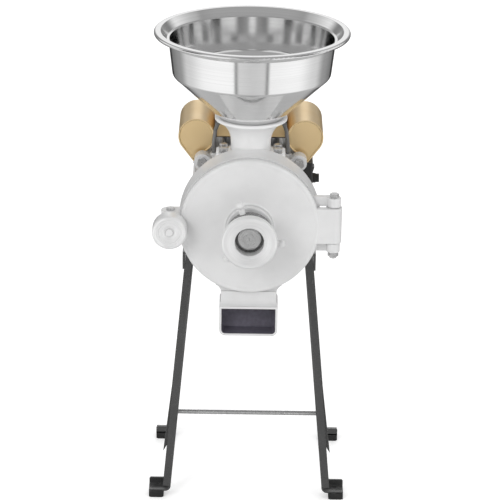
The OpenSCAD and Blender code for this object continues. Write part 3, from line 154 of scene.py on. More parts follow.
class Graph:
    """Adds and links nodes in one node tree."""

    def __init__(self, tree: bpy.types.NodeTree) -> None:
        """Keeps the tree that nodes are added to."""
        self.tree = tree

    def add(self, kind: str, **settings: object) -> Node:
        """Adds a node.

        Args:
            kind: the node's type, without its "ShaderNode" prefix.
            settings: the node's own properties.

        Returns:
            The new node.
        """
        node = self.tree.nodes.new("ShaderNode" + kind)
        for name, value in settings.items():
            setattr(node, name, value)
        return node

    def feed(self, node: Node, **values: Value) -> Node:
        """Sets or links a node's inputs.

        Args:
            node: the node whose inputs are fed.
            values: a socket to link or a value to set, by the input's name with "_" for a
                space, or by i0, i1 and so on where inputs are told apart by number.

        Returns:
            The same node.
        """
        for name, value in values.items():
            numbered = name[0] == "i" and name[1:].isdigit()
            key = int(name[1:]) if numbered else name.replace("_", " ")
            if isinstance(value, Socket):
                self.tree.links.new(value, node.inputs[key])
            else:
                node.inputs[key].default_value = value
        return node

    def effect(self, effect: Effect, **values: Value) -> Node:
        """Places a shared group and feeds its inputs."""
        node = self.add("Group", node_tree=bpy.data.node_groups[effect.value])
        return self.feed(node, **values)

    def where(self) -> Socket:
        """The place on the surface, in the piece's own axes."""
        return self.add("TexCoord").outputs["Object"]

    def math(self, operation: str, a: Value, b: Value = 0.0, clamp: bool = False) -> Socket:
        """The result of a math node."""
        node = self.add("Math", operation=operation, use_clamp=clamp)
        return self.feed(node, i0=a, i1=b).outputs[0]

    def vector(self, operation: str, a: Value, b: Value) -> Socket:
        """The vector that a vector math node puts out."""
        return self.feed(self.add("VectorMath", operation=operation), i0=a, i1=b).outputs[0]

    def length(self, vector: Socket) -> Socket:
        """A vector's length."""
        node = self.feed(self.add("VectorMath", operation="LENGTH"), i0=vector)
        return node.outputs["Value"]

    def parts(self, vector: Socket) -> tuple[Socket, Socket, Socket]:
        """A vector's X, Y and Z."""
        x, y, z = self.feed(self.add("SeparateXYZ"), Vector=vector).outputs
        return x, y, z

    def ramp(self, value: Socket, low: Value, high: Value) -> Socket:
        """A value mapped smoothly from low..high to 0..1."""
        node = self.add("MapRange", interpolation_type="SMOOTHSTEP")
        return self.feed(node, Value=value, From_Min=low, From_Max=high).outputs[0]

    def mix(self, factor: Value, a: Value, b: Value) -> Socket:
        """A colour between a and b, by the Mix node's colour sockets 6, 7 and 2."""
        return self.feed(self.add("Mix", data_type="RGBA"), i0=factor, i6=a, i7=b).outputs[2]

    def noise(self, vector: Socket, scale: Value, detail: float = 3.0) -> Socket:
        """A noise value."""
        return self.feed(self.add("TexNoise"), Vector=vector, Scale=scale, Detail=detail).outputs[0]

    def rounded(self, radius: Value) -> Socket:
        """The normal with its edges rounded to a radius."""
        return self.feed(self.add("Bevel", samples=BEVEL_SAMPLES), Radius=radius).outputs[0]

    def bump(self, height: Socket, strength: Value, distance: float, normal: Socket) -> Socket:
        """A normal that follows a height on top of another normal."""
        node = self.feed(self.add("Bump"), Height=height, Strength=strength, Distance=distance)
        return self.feed(node, Normal=normal).outputs[0]


class GroupGraph(Graph):
    """The graph of a shared group, with its named inputs and outputs."""

    def __init__(self, effect: Effect, inputs: dict[str, Union[float, Point, Colour]],
                 outputs: dict[str, Carries]) -> None:
        """Starts the group.

        Args:
            effect: which group it is.
            inputs: names and default values; the value's type gives the socket's type.
            outputs: names, and what each carries.
        """
        super().__init__(bpy.data.node_groups.new(effect.value, "ShaderNodeTree"))
        sockets = self.tree.interface
        for name, value in inputs.items():
            if isinstance(value, float):
                carries = Carries.NUMBER
            else:
                carries = Carries.COLOUR if len(value) == COLOUR_PARTS else Carries.VECTOR
            socket = sockets.new_socket(name, in_out="INPUT", socket_type=carries.value)
            socket.default_value = value
        for name, carries in outputs.items():
            sockets.new_socket(name, in_out="OUTPUT", socket_type=carries.value)
        self.source = self.tree.nodes.new("NodeGroupInput")
        self.sink = self.tree.nodes.new("NodeGroupOutput")

    def given(self, name: str) -> Socket:
        """What a material gives the group for an input."""
        return self.source.outputs[name]

    def put_out(self, **values: Socket) -> None:
        """Links the group's outputs by name."""
        self.feed(self.sink, **values)


def build_soft_skin() -> None:
    """Rounded edges with the fine unevenness of a painted, cast or moulded surface."""
    group = GroupGraph(
        Effect.SOFT_SKIN,
        {"Edge Radius": 0.0008, "Grain Scale": 900.0, "Grain Height": 0.1, "Wave Scale": 60.0,
         "Wave Height": 0.1},
        {"Normal": Carries.VECTOR, "Height": Carries.NUMBER})
    where = group.where()
    grain = group.noise(where, group.given("Grain Scale"))
    wave = group.noise(where, group.given("Wave Scale"), detail=2.0)
    edges = group.rounded(group.given("Edge Radius"))
    fine = group.bump(grain, group.given("Grain Height"), GRAIN_DEPTH, edges)
    broad = group.bump(wave, group.given("Wave Height"), WAVE_DEPTH, fine)
    group.put_out(Normal=broad, Height=grain)


def build_spin_lines() -> None:
    """Turned or spun lines round an axis along Z (Along Y = 0) or along Y (Along Y = 1)."""
    group = GroupGraph(
        Effect.SPIN_LINES,
        {"Centre": (0.0, 0.0, 0.0), "Along Y": 0.0, "Lines": 1800.0, "Depth": 0.2,
         "Edge Radius": 0.0005},
        {"Normal": Carries.VECTOR, "Streak": Carries.NUMBER})
    x, y, z = group.parts(group.vector("SUBTRACT", group.where(), group.given("Centre")))
    flip = group.given("Along Y")
    keep = group.math("SUBTRACT", 1.0, flip)
    across = group.math("ADD", group.math("MULTIPLY", z, flip), group.math("MULTIPLY", y, keep))
    along = group.math("ADD", group.math("MULTIPLY", y, flip), group.math("MULTIPLY", z, keep))
    squares = (group.math("MULTIPLY", x, x), group.math("MULTIPLY", across, across))
    radius = group.math("SQRT", group.math("ADD", *squares))
    turn = group.math("MULTIPLY", group.math("ARCTAN2", x, across), LINE_CHANGE)
    place = group.feed(group.add("CombineXYZ"), X=radius, Y=along, Z=turn).outputs[0]
    fine = group.noise(place, group.given("Lines"), detail=2.0)
    broad_scale = group.math("MULTIPLY", group.given("Lines"), BROAD_LINES)
    broad = group.noise(place, broad_scale, detail=2.0)
    streak = group.math("ADD", group.math("MULTIPLY", fine, FINE_SHARE),
                        group.math("MULTIPLY", broad, BROAD_SHARE))
    edges = group.rounded(group.given("Edge Radius"))
    group.put_out(Normal=group.bump(streak, group.given("Depth"), LINE_DEPTH, edges), Streak=streak)


def build_mottle() -> None:
    """Two colours mixed by soft blotches, and the blotches themselves."""
    group = GroupGraph(
        Effect.MOTTLE,
        {"Light": grey(0.8), "Dark": grey(0.6), "Scale": 40.0, "Spread": 0.2},
        {"Color": Carries.COLOUR, "Mask": Carries.NUMBER})
    blotch = group.noise(group.where(), group.given("Scale"), detail=4.0)
    low = group.math("SUBTRACT", NOISE_MIDDLE, group.given("Spread"))
    high = group.math("ADD", NOISE_MIDDLE, group.given("Spread"))
    mask = group.ramp(blotch, low, high)
    group.put_out(Color=group.mix(mask, group.given("Light"), group.given("Dark")), Mask=mask)


def build_dust() -> None:
    """A thin layer of pale dust on upward faces, thicker in blotches."""
    group = GroupGraph(
        Effect.DUST,
        {"Base": grey(0.05), "Dust": grey(0.5), "Amount": 0.2},
        {"Color": Carries.COLOUR, "Mask": Carries.NUMBER})
    up = group.parts(group.add("NewGeometry").outputs["Normal"])[2]
    facing = group.ramp(up, *DUST_FACING)
    blotch = group.ramp(group.noise(group.where(), DUST_SCALE, detail=5.0), *DUST_BLOTCH)
    settled = group.math("MULTIPLY", facing, blotch)
    mask = group.math("MULTIPLY", settled, group.given("Amount"), clamp=True)
    group.put_out(Color=group.mix(mask, group.given("Base"), group.given("Dust")), Mask=mask)


def build_inside_box() -> None:
    """A mask that is 1 inside an upright box and fades out over its edge."""
    group = GroupGraph(
        Effect.INSIDE_BOX,
        {"Low": (0.0, 0.0, 0.0), "High": (1.0, 1.0, 1.0), "Fade": 0.001},
        {"Mask": Carries.NUMBER})
    where = group.where()
    above = group.vector("SUBTRACT", where, group.given("Low"))
    below = group.vector("SUBTRACT", group.given("High"), where)
    x, y, z = group.parts(group.vector("MINIMUM", above, below))
    depth = group.math("MINIMUM", group.math("MINIMUM", x, y), z)
    group.put_out(Mask=group.math("DIVIDE", depth, group.given("Fade"), clamp=True))


def build_groups() -> None:
    """Builds every shared shader group once."""
    for build in (build_soft_skin, build_spin_lines, build_mottle, build_dust, build_inside_box):
        build()


# ------------------------------------------------------------------------------------------------
# Finishes

BLOTCH_ROUGHNESS = 0.08       # how much rougher a skin's dark blotches are than its light ones
DUST_ROUGHNESS = 0.4          # how much rougher dust is
COAT_ROUGHNESS = 0.25
STREAK_RANGE = (0.35, 0.65)   # streak values between which turned metal changes its colour
# Painted shade inside a box, as in the spout's passage:
INSIDE_SHADE_DARK = 0.72            # brightness of the dark streaks in painted shade
INSIDE_SHADE_SCALE = 180.0
INSIDE_SHADE_SPREAD = 0.3
HUB_DARK = 0.3                # brightness of a bare hub's dark flecks
HUB_SCALE = 420.0
HUB_SPREAD = 0.12
HUB_FADE = 0.0006             # width of a hub's edge


@dataclass(frozen=True)
class Finish:
    """A material that is built on its first use."""

    name: str

    def build(self, graph: Graph, shader: Node) -> None:
        """Fills in the graph of the material round its Principled shader."""
        raise NotImplementedError

    def material(self) -> bpy.types.Material:
        """Finds the finish's material, or builds it.

        Returns:
            The material.
        """
        found = bpy.data.materials.get(self.name)
        if found:
            return found
        made = bpy.data.materials.new(self.name)
        made.use_nodes = True
        self.build(Graph(made.node_tree), made.node_tree.nodes["Principled BSDF"])
        return made


@dataclass(frozen=True)
class Skin(Finish):
    """Paint, plastic or rubber: a mottled colour under a fine uneven skin, with a little dust."""

    light: Colour
    dark: Colour
    roughness: float
    metallic: float = 0.0
    coat: float = 0.0
    specular: float = 0.5
    spread: float = 0.25
    blotch: float = 40.0
    edge: float = 0.0008
    grain: float = 0.12
    grain_scale: float = 900.0
    wave: float = 0.08
    dust: float = 0.0
    dust_colour: Colour = grey(0.55)

    def build(self, graph: Graph, shader: Node) -> None:
        """Mixes the colours, lays dust over them and adds the skin's unevenness.

        Args:
            graph: the material's graph.
            shader: its Principled shader.
        """
        paint = graph.effect(Effect.MOTTLE, Light=self.light, Dark=self.dark, Scale=self.blotch,
                             Spread=self.spread)
        skin = graph.effect(Effect.SOFT_SKIN, Edge_Radius=self.edge, Grain_Scale=self.grain_scale,
                            Grain_Height=self.grain, Wave_Height=self.wave)
        top = graph.effect(Effect.DUST, Base=paint.outputs["Color"], Dust=self.dust_colour,
                           Amount=self.dust)
        blotchy = graph.math("MULTIPLY", paint.outputs["Mask"], BLOTCH_ROUGHNESS)
        dusty = graph.math("MULTIPLY", top.outputs["Mask"], DUST_ROUGHNESS)
        rough = graph.math("ADD", blotchy, self.roughness - BLOTCH_ROUGHNESS / 2)
        rough = graph.math("ADD", rough, dusty, clamp=True)
        graph.feed(shader, Base_Color=top.outputs["Color"], Roughness=rough,
                   Metallic=self.metallic, Coat_Weight=self.coat, Coat_Roughness=COAT_ROUGHNESS,
                   Specular_IOR_Level=self.specular, Normal=skin.outputs["Normal"])


@dataclass(frozen=True)
class ShadedBoxSkin(Skin):
    """A skin that is darker inside one box: painted shade, as in a deep passage where the light
    doesn't reach.
    """

    low: Point = (0.0, 0.0, 0.0)
    high: Point = (1.0, 1.0, 1.0)
    # the colour of the painted shade in the box
    inside_shade: Colour = grey(0.1)

    def build(self, graph: Graph, shader: Node) -> None:
        """Builds the skin, and paints shade into the box, in streaks of the shade's colour.

        Args:
            graph: the material's graph.
            shader: its Principled shader.
        """
        super().build(graph, shader)
        paint = shader.inputs["Base Color"].links[0].from_socket
        # painted shade: the box is darkened to the shade's colour
        inside = graph.effect(Effect.INSIDE_BOX, Low=self.low, High=self.high)
        streaks = graph.effect(Effect.MOTTLE, Light=self.inside_shade,
                               Dark=darker(self.inside_shade, INSIDE_SHADE_DARK), Scale=INSIDE_SHADE_SCALE,
                               Spread=INSIDE_SHADE_SPREAD)
        shaded = graph.mix(inside.outputs["Mask"], paint, streaks.outputs["Color"])
        graph.feed(shader, Base_Color=shaded)


@dataclass(frozen=True)
class HubSkin(Skin):
    """A skin that is bare, dark metal within a radius of an axis along Y."""

    centre: Point = (0.0, 0.0, 0.0)
    hub_r: float = 0.03
    hub: Colour = grey(0.2)

    def build(self, graph: Graph, shader: Node) -> None:
        """Builds the skin, and leaves flecked metal bare about the axis.

        Args:
            graph: the material's graph.
            shader: its Principled shader.
        """
        super().build(graph, shader)
        paint = shader.inputs["Base Color"].links[0].from_socket
        offset = graph.vector("SUBTRACT", graph.where(), self.centre)
        across = graph.vector("MULTIPLY", offset, (1.0, 0.0, 1.0))
        radius = graph.length(across)
        outside = graph.ramp(radius, self.hub_r, self.hub_r + HUB_FADE)
        metal = graph.effect(Effect.MOTTLE, Light=self.hub, Dark=darker(self.hub, HUB_DARK),
                             Scale=HUB_SCALE, Spread=HUB_SPREAD)
        graph.feed(shader, Base_Color=graph.mix(outside, metal.outputs["Color"], paint))


@dataclass(frozen=True)
class Turned(Finish):
    """Bright metal with turned or spun lines round an axis."""

    colour: Colour
    streak_colour: Colour
    roughness: float
    centre: Point = (0.0, 0.0, 0.0)
    axis: Axis = Axis.Y
    lines: float = 1800.0
    depth: float = 0.2
    rough_spread: float = 0.12
    edge: float = 0.0005
    metallic: float = 1.0

    def build(self, graph: Graph, shader: Node) -> None:
        """Draws the lines, which also change the colour and the gloss a little.

        Args:
            graph: the material's graph.
            shader: its Principled shader.
        """
        spin = graph.effect(Effect.SPIN_LINES, Centre=self.centre,
                            Along_Y=1.0 if self.axis is Axis.Y else 0.0, Lines=self.lines,
                            Depth=self.depth, Edge_Radius=self.edge)
        streak = graph.ramp(spin.outputs["Streak"], *STREAK_RANGE)
        colour = graph.mix(streak, self.colour, self.streak_colour)
        rough = graph.math("ADD", graph.math("MULTIPLY", streak, self.rough_spread),
                           self.roughness)
        graph.feed(shader, Base_Color=colour, Roughness=rough, Metallic=self.metallic,
                   Normal=spin.outputs["Normal"])


SHAFT: Point = (0.0, 0.0, 0.43)       # a point on the axis of shaft, hand wheel and door boss
FEED: Point = (0.0, -0.114, 0.0)      # a point on the upright axis of throat and hopper
NUT_AXIS: Point = (-0.105, 0.0, 0.43)
CAST: dict[str, float] = {"roughness": 0.42, "coat": 0.12, "grain": 0.16, "edge": 0.0012,
                          "wave": 0.12}

POLISHED = Turned("polished steel", grey(0.86), grey(0.80), 0.07, FEED, Axis.Z, lines=1100.0,
                  depth=0.05, rough_spread=0.05)
WHEEL = Turned("turned wheel", grey(0.92), grey(0.84), 0.3, SHAFT, lines=1500.0, depth=0.15,
               edge=0.0008, metallic=0.6)
NUT = Turned("turned hand nut", grey(0.93), grey(0.84), 0.3, NUT_AXIS, lines=1500.0,
             rough_spread=0.15, edge=0.0008, metallic=0.5)
SPINDLE = Turned("spindle steel", grey(0.62), grey(0.5), 0.2, SHAFT)
SATIN_PAINT = Skin("silver casting paint", grey(0.77), grey(0.73), metallic=0.15, **CAST)
# painted highlight: throat and pillar get a paler copy of the casting paint, for the top light on
# the throat
LIT_CASTING_PAINT = Skin("casting paint, painted highlight", grey(0.88), grey(0.85), metallic=0.1, **CAST)
# painted shade: the spout's passage is darkened inside the box from low to high
SPOUT_PAINT = ShadedBoxSkin("spout paint", grey(0.75), grey(0.71), metallic=0.12,
                        low=(-0.0368, -0.1849, 0.2775), high=(0.0368, -0.10, 0.3165),
                        inside_shade=(0.15, 0.14, 0.18, 1.0), **CAST)
LOCK_PAINT = HubSkin("locking ring", grey(0.80), grey(0.76), 0.4, metallic=0.15, coat=0.12,
                     grain=0.16, wave=0.05, centre=SHAFT, hub_r=0.0314, hub=grey(0.24))
ZINC = Skin("bright zinc", grey(0.72), grey(0.55), 0.28, metallic=1.0, blotch=260.0, grain=0.2,
            edge=0.0006)
# painted shadow: near-black zinc for the cover bracket, which lies in shadow behind the capacitor
# covers
SHADOW_ZINC = Skin("zinc darkened as painted shadow", grey(0.12), grey(0.07), 0.5, metallic=0.9, blotch=90.0, grain=0.3,
                 edge=0.0006)
MACHINED_IRON = Skin("machined iron", grey(0.22), grey(0.15), 0.4, metallic=0.9, blotch=220.0,
                     grain=0.25, edge=0.0004)
THREAD = Skin("dark thread", grey(0.16), grey(0.09), 0.38, metallic=0.9, blotch=300.0, grain=0.2,
              edge=0.0002)
GOLD = Skin("pale gold paint", (0.95, 0.72, 0.40, 1.0), (0.93, 0.70, 0.38, 1.0), 0.33,
            metallic=0.78, coat=0.1, grain=0.01, edge=0.0004, wave=0.0)
# painted highlight: the rolled edge gets a paler copy of the gold paint, so it shows as a bright
# rim
GOLD_HIGHLIGHT = Skin("rolled gold edge, painted highlight", (0.95, 0.76, 0.46, 1.0), (0.90, 0.70, 0.40, 1.0), 0.2,
                   metallic=0.9, coat=0.2, grain=0.01, edge=0.0002, wave=0.0)
BLACK_PAINT = Skin("black paint", grey(0.028), grey(0.038), 0.24, coat=1.0, specular=0.7,
                   grain=0.12, grain_scale=420.0, edge=0.0006, wave=0.15, dust=0.12)
BLACK_PLASTIC = Skin("black plastic", grey(0.018), grey(0.024), 0.48, grain=0.3,
                     grain_scale=1600.0, edge=0.0006, dust=0.06)
ROCKER_PLASTIC = Skin("rocker plastic", grey(0.012), grey(0.016), 0.22, grain=0.05, edge=0.0007)
RUBBER = Skin("rubber", grey(0.02), grey(0.03), 0.75, specular=0.35, grain=0.4,
              grain_scale=700.0, dust=0.15)
SLEEVING = Skin("grey sleeving", grey(0.20), grey(0.15), 0.45, grain=0.2, grain_scale=1500.0,
                edge=0.0002)
COPPER = Skin("enamelled copper", (0.55, 0.22, 0.09, 1.0), (0.4, 0.14, 0.06, 1.0), 0.35,
              metallic=1.0, blotch=500.0)
CAN = Skin("drawn aluminium", grey(0.7), grey(0.6), 0.35, metallic=1.0, blotch=120.0)

# ------------------------------------------------------------------------------------------------
# Shapes

MM = 0.001
ON_AXIS = 0.001          # a radius below this, in millimetres, lies on the axis
WELD = 0.0005            # corners closer than this, in millimetres, are one
TURN_STEPS = 96
CORNER_STEPS = 5
HEXAGON = 6
CREASE = 28.0            # an edge stays sharp above this angle, in degrees
ROUND_CREASE = 60.0      # the same for a thread or a rolled edge
NODE_CREASE: dict[str, float] = {"lead_left": 40.0, "lead_right": 40.0}


def low_of(node: str) -> Vector:
    """A node's lowest corner, in millimetres."""
    return Vector(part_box(node)[0]) / MM


def high_of(node: str) -> Vector:
    """A node's highest corner, in millimetres."""
    return Vector(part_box(node)[1]) / MM


def middle_of(node: str) -> Point:
    """The middle of a node's box, in millimetres."""
    x, y, z = ((a + b) / 2 for a, b in zip(low_of(node), high_of(node)))
    return x, y, z


def smooth(mesh: bpy.types.Mesh, crease: float) -> None:
    """Shades a mesh smoothly, with its edges sharp above an angle in degrees."""
    mesh.shade_smooth()
    mesh.set_sharp_from_angle(angle=math.radians(crease))


def arc(centre: Spot, radius: float, start: float, end: float, steps: int) -> list[Spot]:
    """Points along an arc.

    Args:
        centre: the arc's middle.
        radius: its radius.
        start: first angle in degrees.
        end: last angle in degrees.
        steps: number of stretches.

    Returns:
        The points, both ends included.
    """
    angles = (math.radians(start + (end - start) * i / steps) for i in range(steps + 1))
    return [(centre[0] + radius * math.cos(a), centre[1] + radius * math.sin(a)) for a in angles]


def rounded_plate(width: float, depth: float, corner: float, middle: Spot) -> list[Spot]:
    """Outline of a rectangle with rounded corners.

    Args:
        width: its width.
        depth: its depth.
        corner: the radius of its corners.
        middle: its middle.

    Returns:
        The outline's points.
    """
    outline = []
    for i, (sx, sy) in enumerate(((1, 1), (-1, 1), (-1, -1), (1, -1))):
        centre = (middle[0] + sx * (width / 2 - corner), middle[1] + sy * (depth / 2 - corner))
        outline += arc(centre, corner, 90 * i, 90 * i + 90, CORNER_STEPS)
    return outline


class Shape:
    """A mesh in the making, in millimetres."""

    def __init__(self) -> None:
        """Starts with an empty mesh."""
        self.mesh = bmesh.new()

    def ring(self, points: Iterable[Sequence[float]]) -> Ring:
        """Adds a corner at each point."""
        return [self.mesh.verts.new(point) for point in points]

    def circle(self, y: float, z: float, radii: Sequence[float]) -> Ring:
        """Adds a ring round an axis along Y, with a radius for each of its even steps."""
        turns = (2 * math.pi * i / len(radii) for i in range(len(radii)))
        return self.ring((r * math.cos(a), y, z + r * math.sin(a)) for r, a in zip(radii, turns))

    def band(self, first: Ring, second: Ring) -> None:
        """Joins two closed rings with a band of faces.

        Args:
            first: one ring's corners.
            second: as many corners of the other ring, in the same order.
        """
        count = len(first)
        for i in range(count):
            j = (i + 1) % count
            self.mesh.faces.new((first[i], first[j], second[j], second[i]))

    def hoop(self, rings: Sequence[Ring]) -> None:
        """Joins each ring to the next, and the last to the first."""
        for i, ring in enumerate(rings):
            self.band(ring, rings[(i + 1) % len(rings)])

    def bar(self, ends: Sequence[Ring]) -> None:
        """Closes two rings and joins them.

        Args:
            ends: the two rings, their corners in the same order.
        """
        for end in ends:
            self.mesh.faces.new(end)
        self.band(*ends)

    def draw_out(self, outline: Sequence[Spot], axis: Axis, low: float, high: float) -> Ring:
        """Adds an outline drawn out along an axis.

        Args:
            outline: its corners across the axis.
            axis: the axis.
            low: where it starts.
            high: where it ends.

        Returns:
            The corners of both its ends.
        """
        ends = [self.ring(axis.point(a, b, t) for a, b in outline) for t in (low, high)]
        self.bar(ends)
        return ends[0] + ends[1]

    def turn(self, profile: Sequence[Spot], centre: Point, axis: Axis,
             steps: int = TURN_STEPS) -> None:
        """Adds a closed profile turned round an axis.

        Args:
            profile: radius and place along the axis of each corner, as a closed loop.
            centre: the axis point that the profile's places count from.
            axis: the direction of the axis.
            steps: number of stretches round the axis.
        """
        rows = []
        for i in range(steps):
            c, s = math.cos(2 * math.pi * i / steps), math.sin(2 * math.pi * i / steps)
            spots = (axis.point(r * c, r * s, t) for r, t in profile)
            rows.append(self.ring(Vector(centre) + Vector(spot) for spot in spots))
        for i, row in enumerate(rows):
            other = rows[(i + 1) % steps]
            for j in range(len(profile)):
                k = (j + 1) % len(profile)
                corners = [row[j], row[k]]
                corners += [other[n] for n in (k, j) if profile[n][0] > ON_AXIS]
                if len(corners) > 2:
                    self.mesh.faces.new(corners)

    def to_mesh(self, name: str) -> bpy.types.Mesh:
        """Welds the corners, turns the faces outwards and scales to metres.

        Args:
            name: the mesh's name.

        Returns:
            The finished mesh; the shape is used up.
        """
        bmesh.ops.remove_doubles(self.mesh, verts=self.mesh.verts, dist=WELD)
        bmesh.ops.recalc_face_normals(self.mesh, faces=self.mesh.faces)
        bmesh.ops.scale(self.mesh, vec=(MM, MM, MM), verts=self.mesh.verts)
        mesh = bpy.data.meshes.new(name)
        self.mesh.to_mesh(mesh)
        self.mesh.free()
        return mesh


# ------------------------------------------------------------------------------------------------
# Sub-assemblies, with their sizes in millimetres

NodeFinishes = dict[Finish, tuple[str, ...]]


@dataclass
class SubAssembly:
    """Parts of the mill that are dressed together, and the fine pieces that are added to them."""

    body: str = "stand"  # the frame's body that the fine pieces ride on

    def finishes(self) -> NodeFinishes:
        """The sub-assembly's CAD nodes by finish."""
        return {}

    def dress(self, nodes: dict[str, bpy.types.Object]) -> None:
        """Gives the CAD nodes their finish and smooth shading.

        Args:
            nodes: the frame's nodes by name.
        """
        for finish, names in self.finishes().items():
            for name in names:
                mesh = nodes[name].data
                mesh.materials.clear()
                mesh.materials.append(finish.material())
                smooth(mesh, NODE_CREASE.get(name, CREASE))
                LOG.info("%s: %s", name, finish.name)

    def build(self) -> None:
        """Makes the fine pieces. A sub-assembly whose solids need none leaves this out."""

    def place(self, name: str, shape: Shape, finish: Finish, slot: str, *replaced: str,
              crease: float = CREASE) -> None:
        """Turns a shape into a dressed piece.

        Args:
            name: the piece's name.
            shape: its shape.
            finish: its finish.
            slot: the record's material slot; not used.
            replaced: nodes that it stands for.
            crease: angle in degrees above which an edge stays sharp.
        """
        mesh = shape.to_mesh(name)
        mesh.materials.append(finish.material())
        smooth(mesh, crease)
        piece = bpy.data.objects.new(name, mesh)
        bpy.context.collection.objects.link(piece)
        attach(piece, self.body)
        if replaced:
            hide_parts(*replaced)
        LOG.info("%s: %s on %s", name, finish.name, self.body)


@dataclass
class Hopper(SubAssembly):
    """The pressed hopper, which lifts off its seat."""

    body: str = "hopper"

    def finishes(self) -> NodeFinishes:
        """The hopper's node by finish."""
        return {POLISHED: ("hopper",)}


@dataclass
class GrindingHead(SubAssembly):
    """The head's casting and spout, the discs and the auger."""

    def finishes(self) -> NodeFinishes:
        """Lists the head's nodes.

        Returns:
            The names of the nodes for each finish.
        """
        return {SATIN_PAINT: ("head_housing",),
                SPOUT_PAINT: ("discharge_spout",),
                MACHINED_IRON: ("fixed_disc", "rotating_disc", "feed_auger"),
                ZINC: ("disc_screws", "drive_pin"),
                RUBBER: ("shaft_seal",)}


@dataclass
class Adjuster(SubAssembly):
    """Hand wheel and threaded sleeve, which set the fineness."""

    body: str = "adjuster"
    rim_r: float = 36.3
    rim_edge: float = 3.0            # radius of the rim's two edges
    rim_w: float = 9.0
    rim_flat: float = 1.2            # flat ring inside the rim's front edge
    edge_steps: int = 7
    hub_r: float = 29.0
    hub_behind: float = 3.0          # how far the hub reaches behind the node
    hub_chamfer: float = 1.0
    hole_r: float = 19.0
    face: tuple[Spot, ...] = ((0.0, 3.8), (0.8, 3.0), (4.5, 2.5), (8.5, 1.0))  # out, deep
    sleeve_set_back: float = 17.0
    sleeve_bore_r: float = 16.05
    thread_r: float = 25.0
    thread_depth: float = 1.1
    pitch: float = 2.0
    pitch_steps: int = 6             # rings in each pitch of the thread
    thread_steps: int = 72           # corners of each ring

    def finishes(self) -> NodeFinishes:
        """The adjuster's nodes by finish."""
        return {WHEEL: ("hand_wheel",), THREAD: ("adjusting_sleeve",)}

    def wheel(self) -> None:
        """Turns the hand wheel: a thin rounded rim, a hollow face and a narrower hub behind."""
        low, high = low_of("hand_wheel"), high_of("hand_wheel")
        edge_r = self.rim_r - self.rim_edge
        back = high.y - low.y + self.hub_behind
        bevel = self.hub_chamfer
        profile = [(self.hole_r, self.sleeve_set_back)]
        profile += [(self.hole_r + out, deep) for out, deep in self.face]
        profile += [(edge_r - self.rim_flat, 0.0)]
        profile += arc((edge_r, self.rim_edge), self.rim_edge, -90, 0, self.edge_steps)
        profile += arc((edge_r, self.rim_w - self.rim_edge), self.rim_edge, 0, 90,
                       self.edge_steps)
        profile += [(self.hub_r + bevel, self.rim_w), (self.hub_r, self.rim_w + bevel),
                    (self.hub_r, back - bevel), (self.hub_r - bevel, back),
                    (self.thread_r, back), (self.thread_r, self.sleeve_set_back)]
        shape = Shape()
        shape.turn(profile, (0.0, low.y, middle_of("hand_wheel")[2]), Axis.Y)
        self.place("wheel_casting", shape, WHEEL, "turned_steel", "hand_wheel")

    def thread_radii(self, place: float) -> list[float]:
        """Follows the thread once round the sleeve.

        Args:
            place: how far behind the sleeve's front.

        Returns:
            The thread's radius at each step.
        """
        phases = ((place / self.pitch - i / self.thread_steps) % 1.0
                  for i in range(self.thread_steps))
        return [self.thread_r - self.thread_depth * abs(2 * phase - 1) for phase in phases]

    def sleeve(self) -> None:
        """Cuts the sleeve's outside thread as a true helix."""
        front = low_of("hand_wheel").y + self.sleeve_set_back
        back = high_of("adjusting_sleeve").y
        z = middle_of("adjusting_sleeve")[2]
        count = int((back - front) / self.pitch * self.pitch_steps)
        shape = Shape()
        rings = []
        for j in range(count + 1):
            place = (back - front) * j / count
            rings.append(shape.circle(front + place, z, self.thread_radii(place)))
        bore = [self.sleeve_bore_r] * self.thread_steps
        rings += [shape.circle(y, z, bore) for y in (back, front)]
        shape.hoop(rings)
        self.place("sleeve_thread", shape, THREAD, "grey_iron", "adjusting_sleeve",
                   crease=ROUND_CREASE)

    def build(self) -> None:
        """Builds the wheel and the sleeve."""
        self.wheel()
        self.sleeve()


@dataclass
class ThrustSpindle(SubAssembly):
    """The spindle that presses on the shaft's ball, with its centre hole."""

    body: str = "adjuster_spindle"
    set_back: float = 15.0           # behind the hand wheel's front
    radius: float = 16.0
    centre: tuple[Spot, ...] = ((0.0, 1.8), (1.6, 0.3), (2.1, 0.0))  # radius, deep
    edge: float = 3.0
    edge_flat: float = 0.2
    edge_steps: int = 6

    def finishes(self) -> NodeFinishes:
        """The spindle's nodes by finish."""
        return {SPINDLE: ("thrust_spindle", "thrust_ball")}

    def build(self) -> None:
        """Turns the spindle, set back inside the hand wheel."""
        front = low_of("hand_wheel").y + self.set_back
        length = high_of("thrust_spindle").y - front
        edge_r = self.radius - self.edge
        profile = list(self.centre) + [(edge_r - self.edge_flat, 0.0)]
        profile += arc((edge_r, self.edge), self.edge, -90, 0, self.edge_steps)
        profile += [(self.radius, length), (0.0, length)]
        shape = Shape()
        shape.turn(profile, (0.0, front, middle_of("thrust_spindle")[2]), Axis.Y)
        self.place("spindle_end", shape, SPINDLE, "turned_steel", "thrust_spindle")


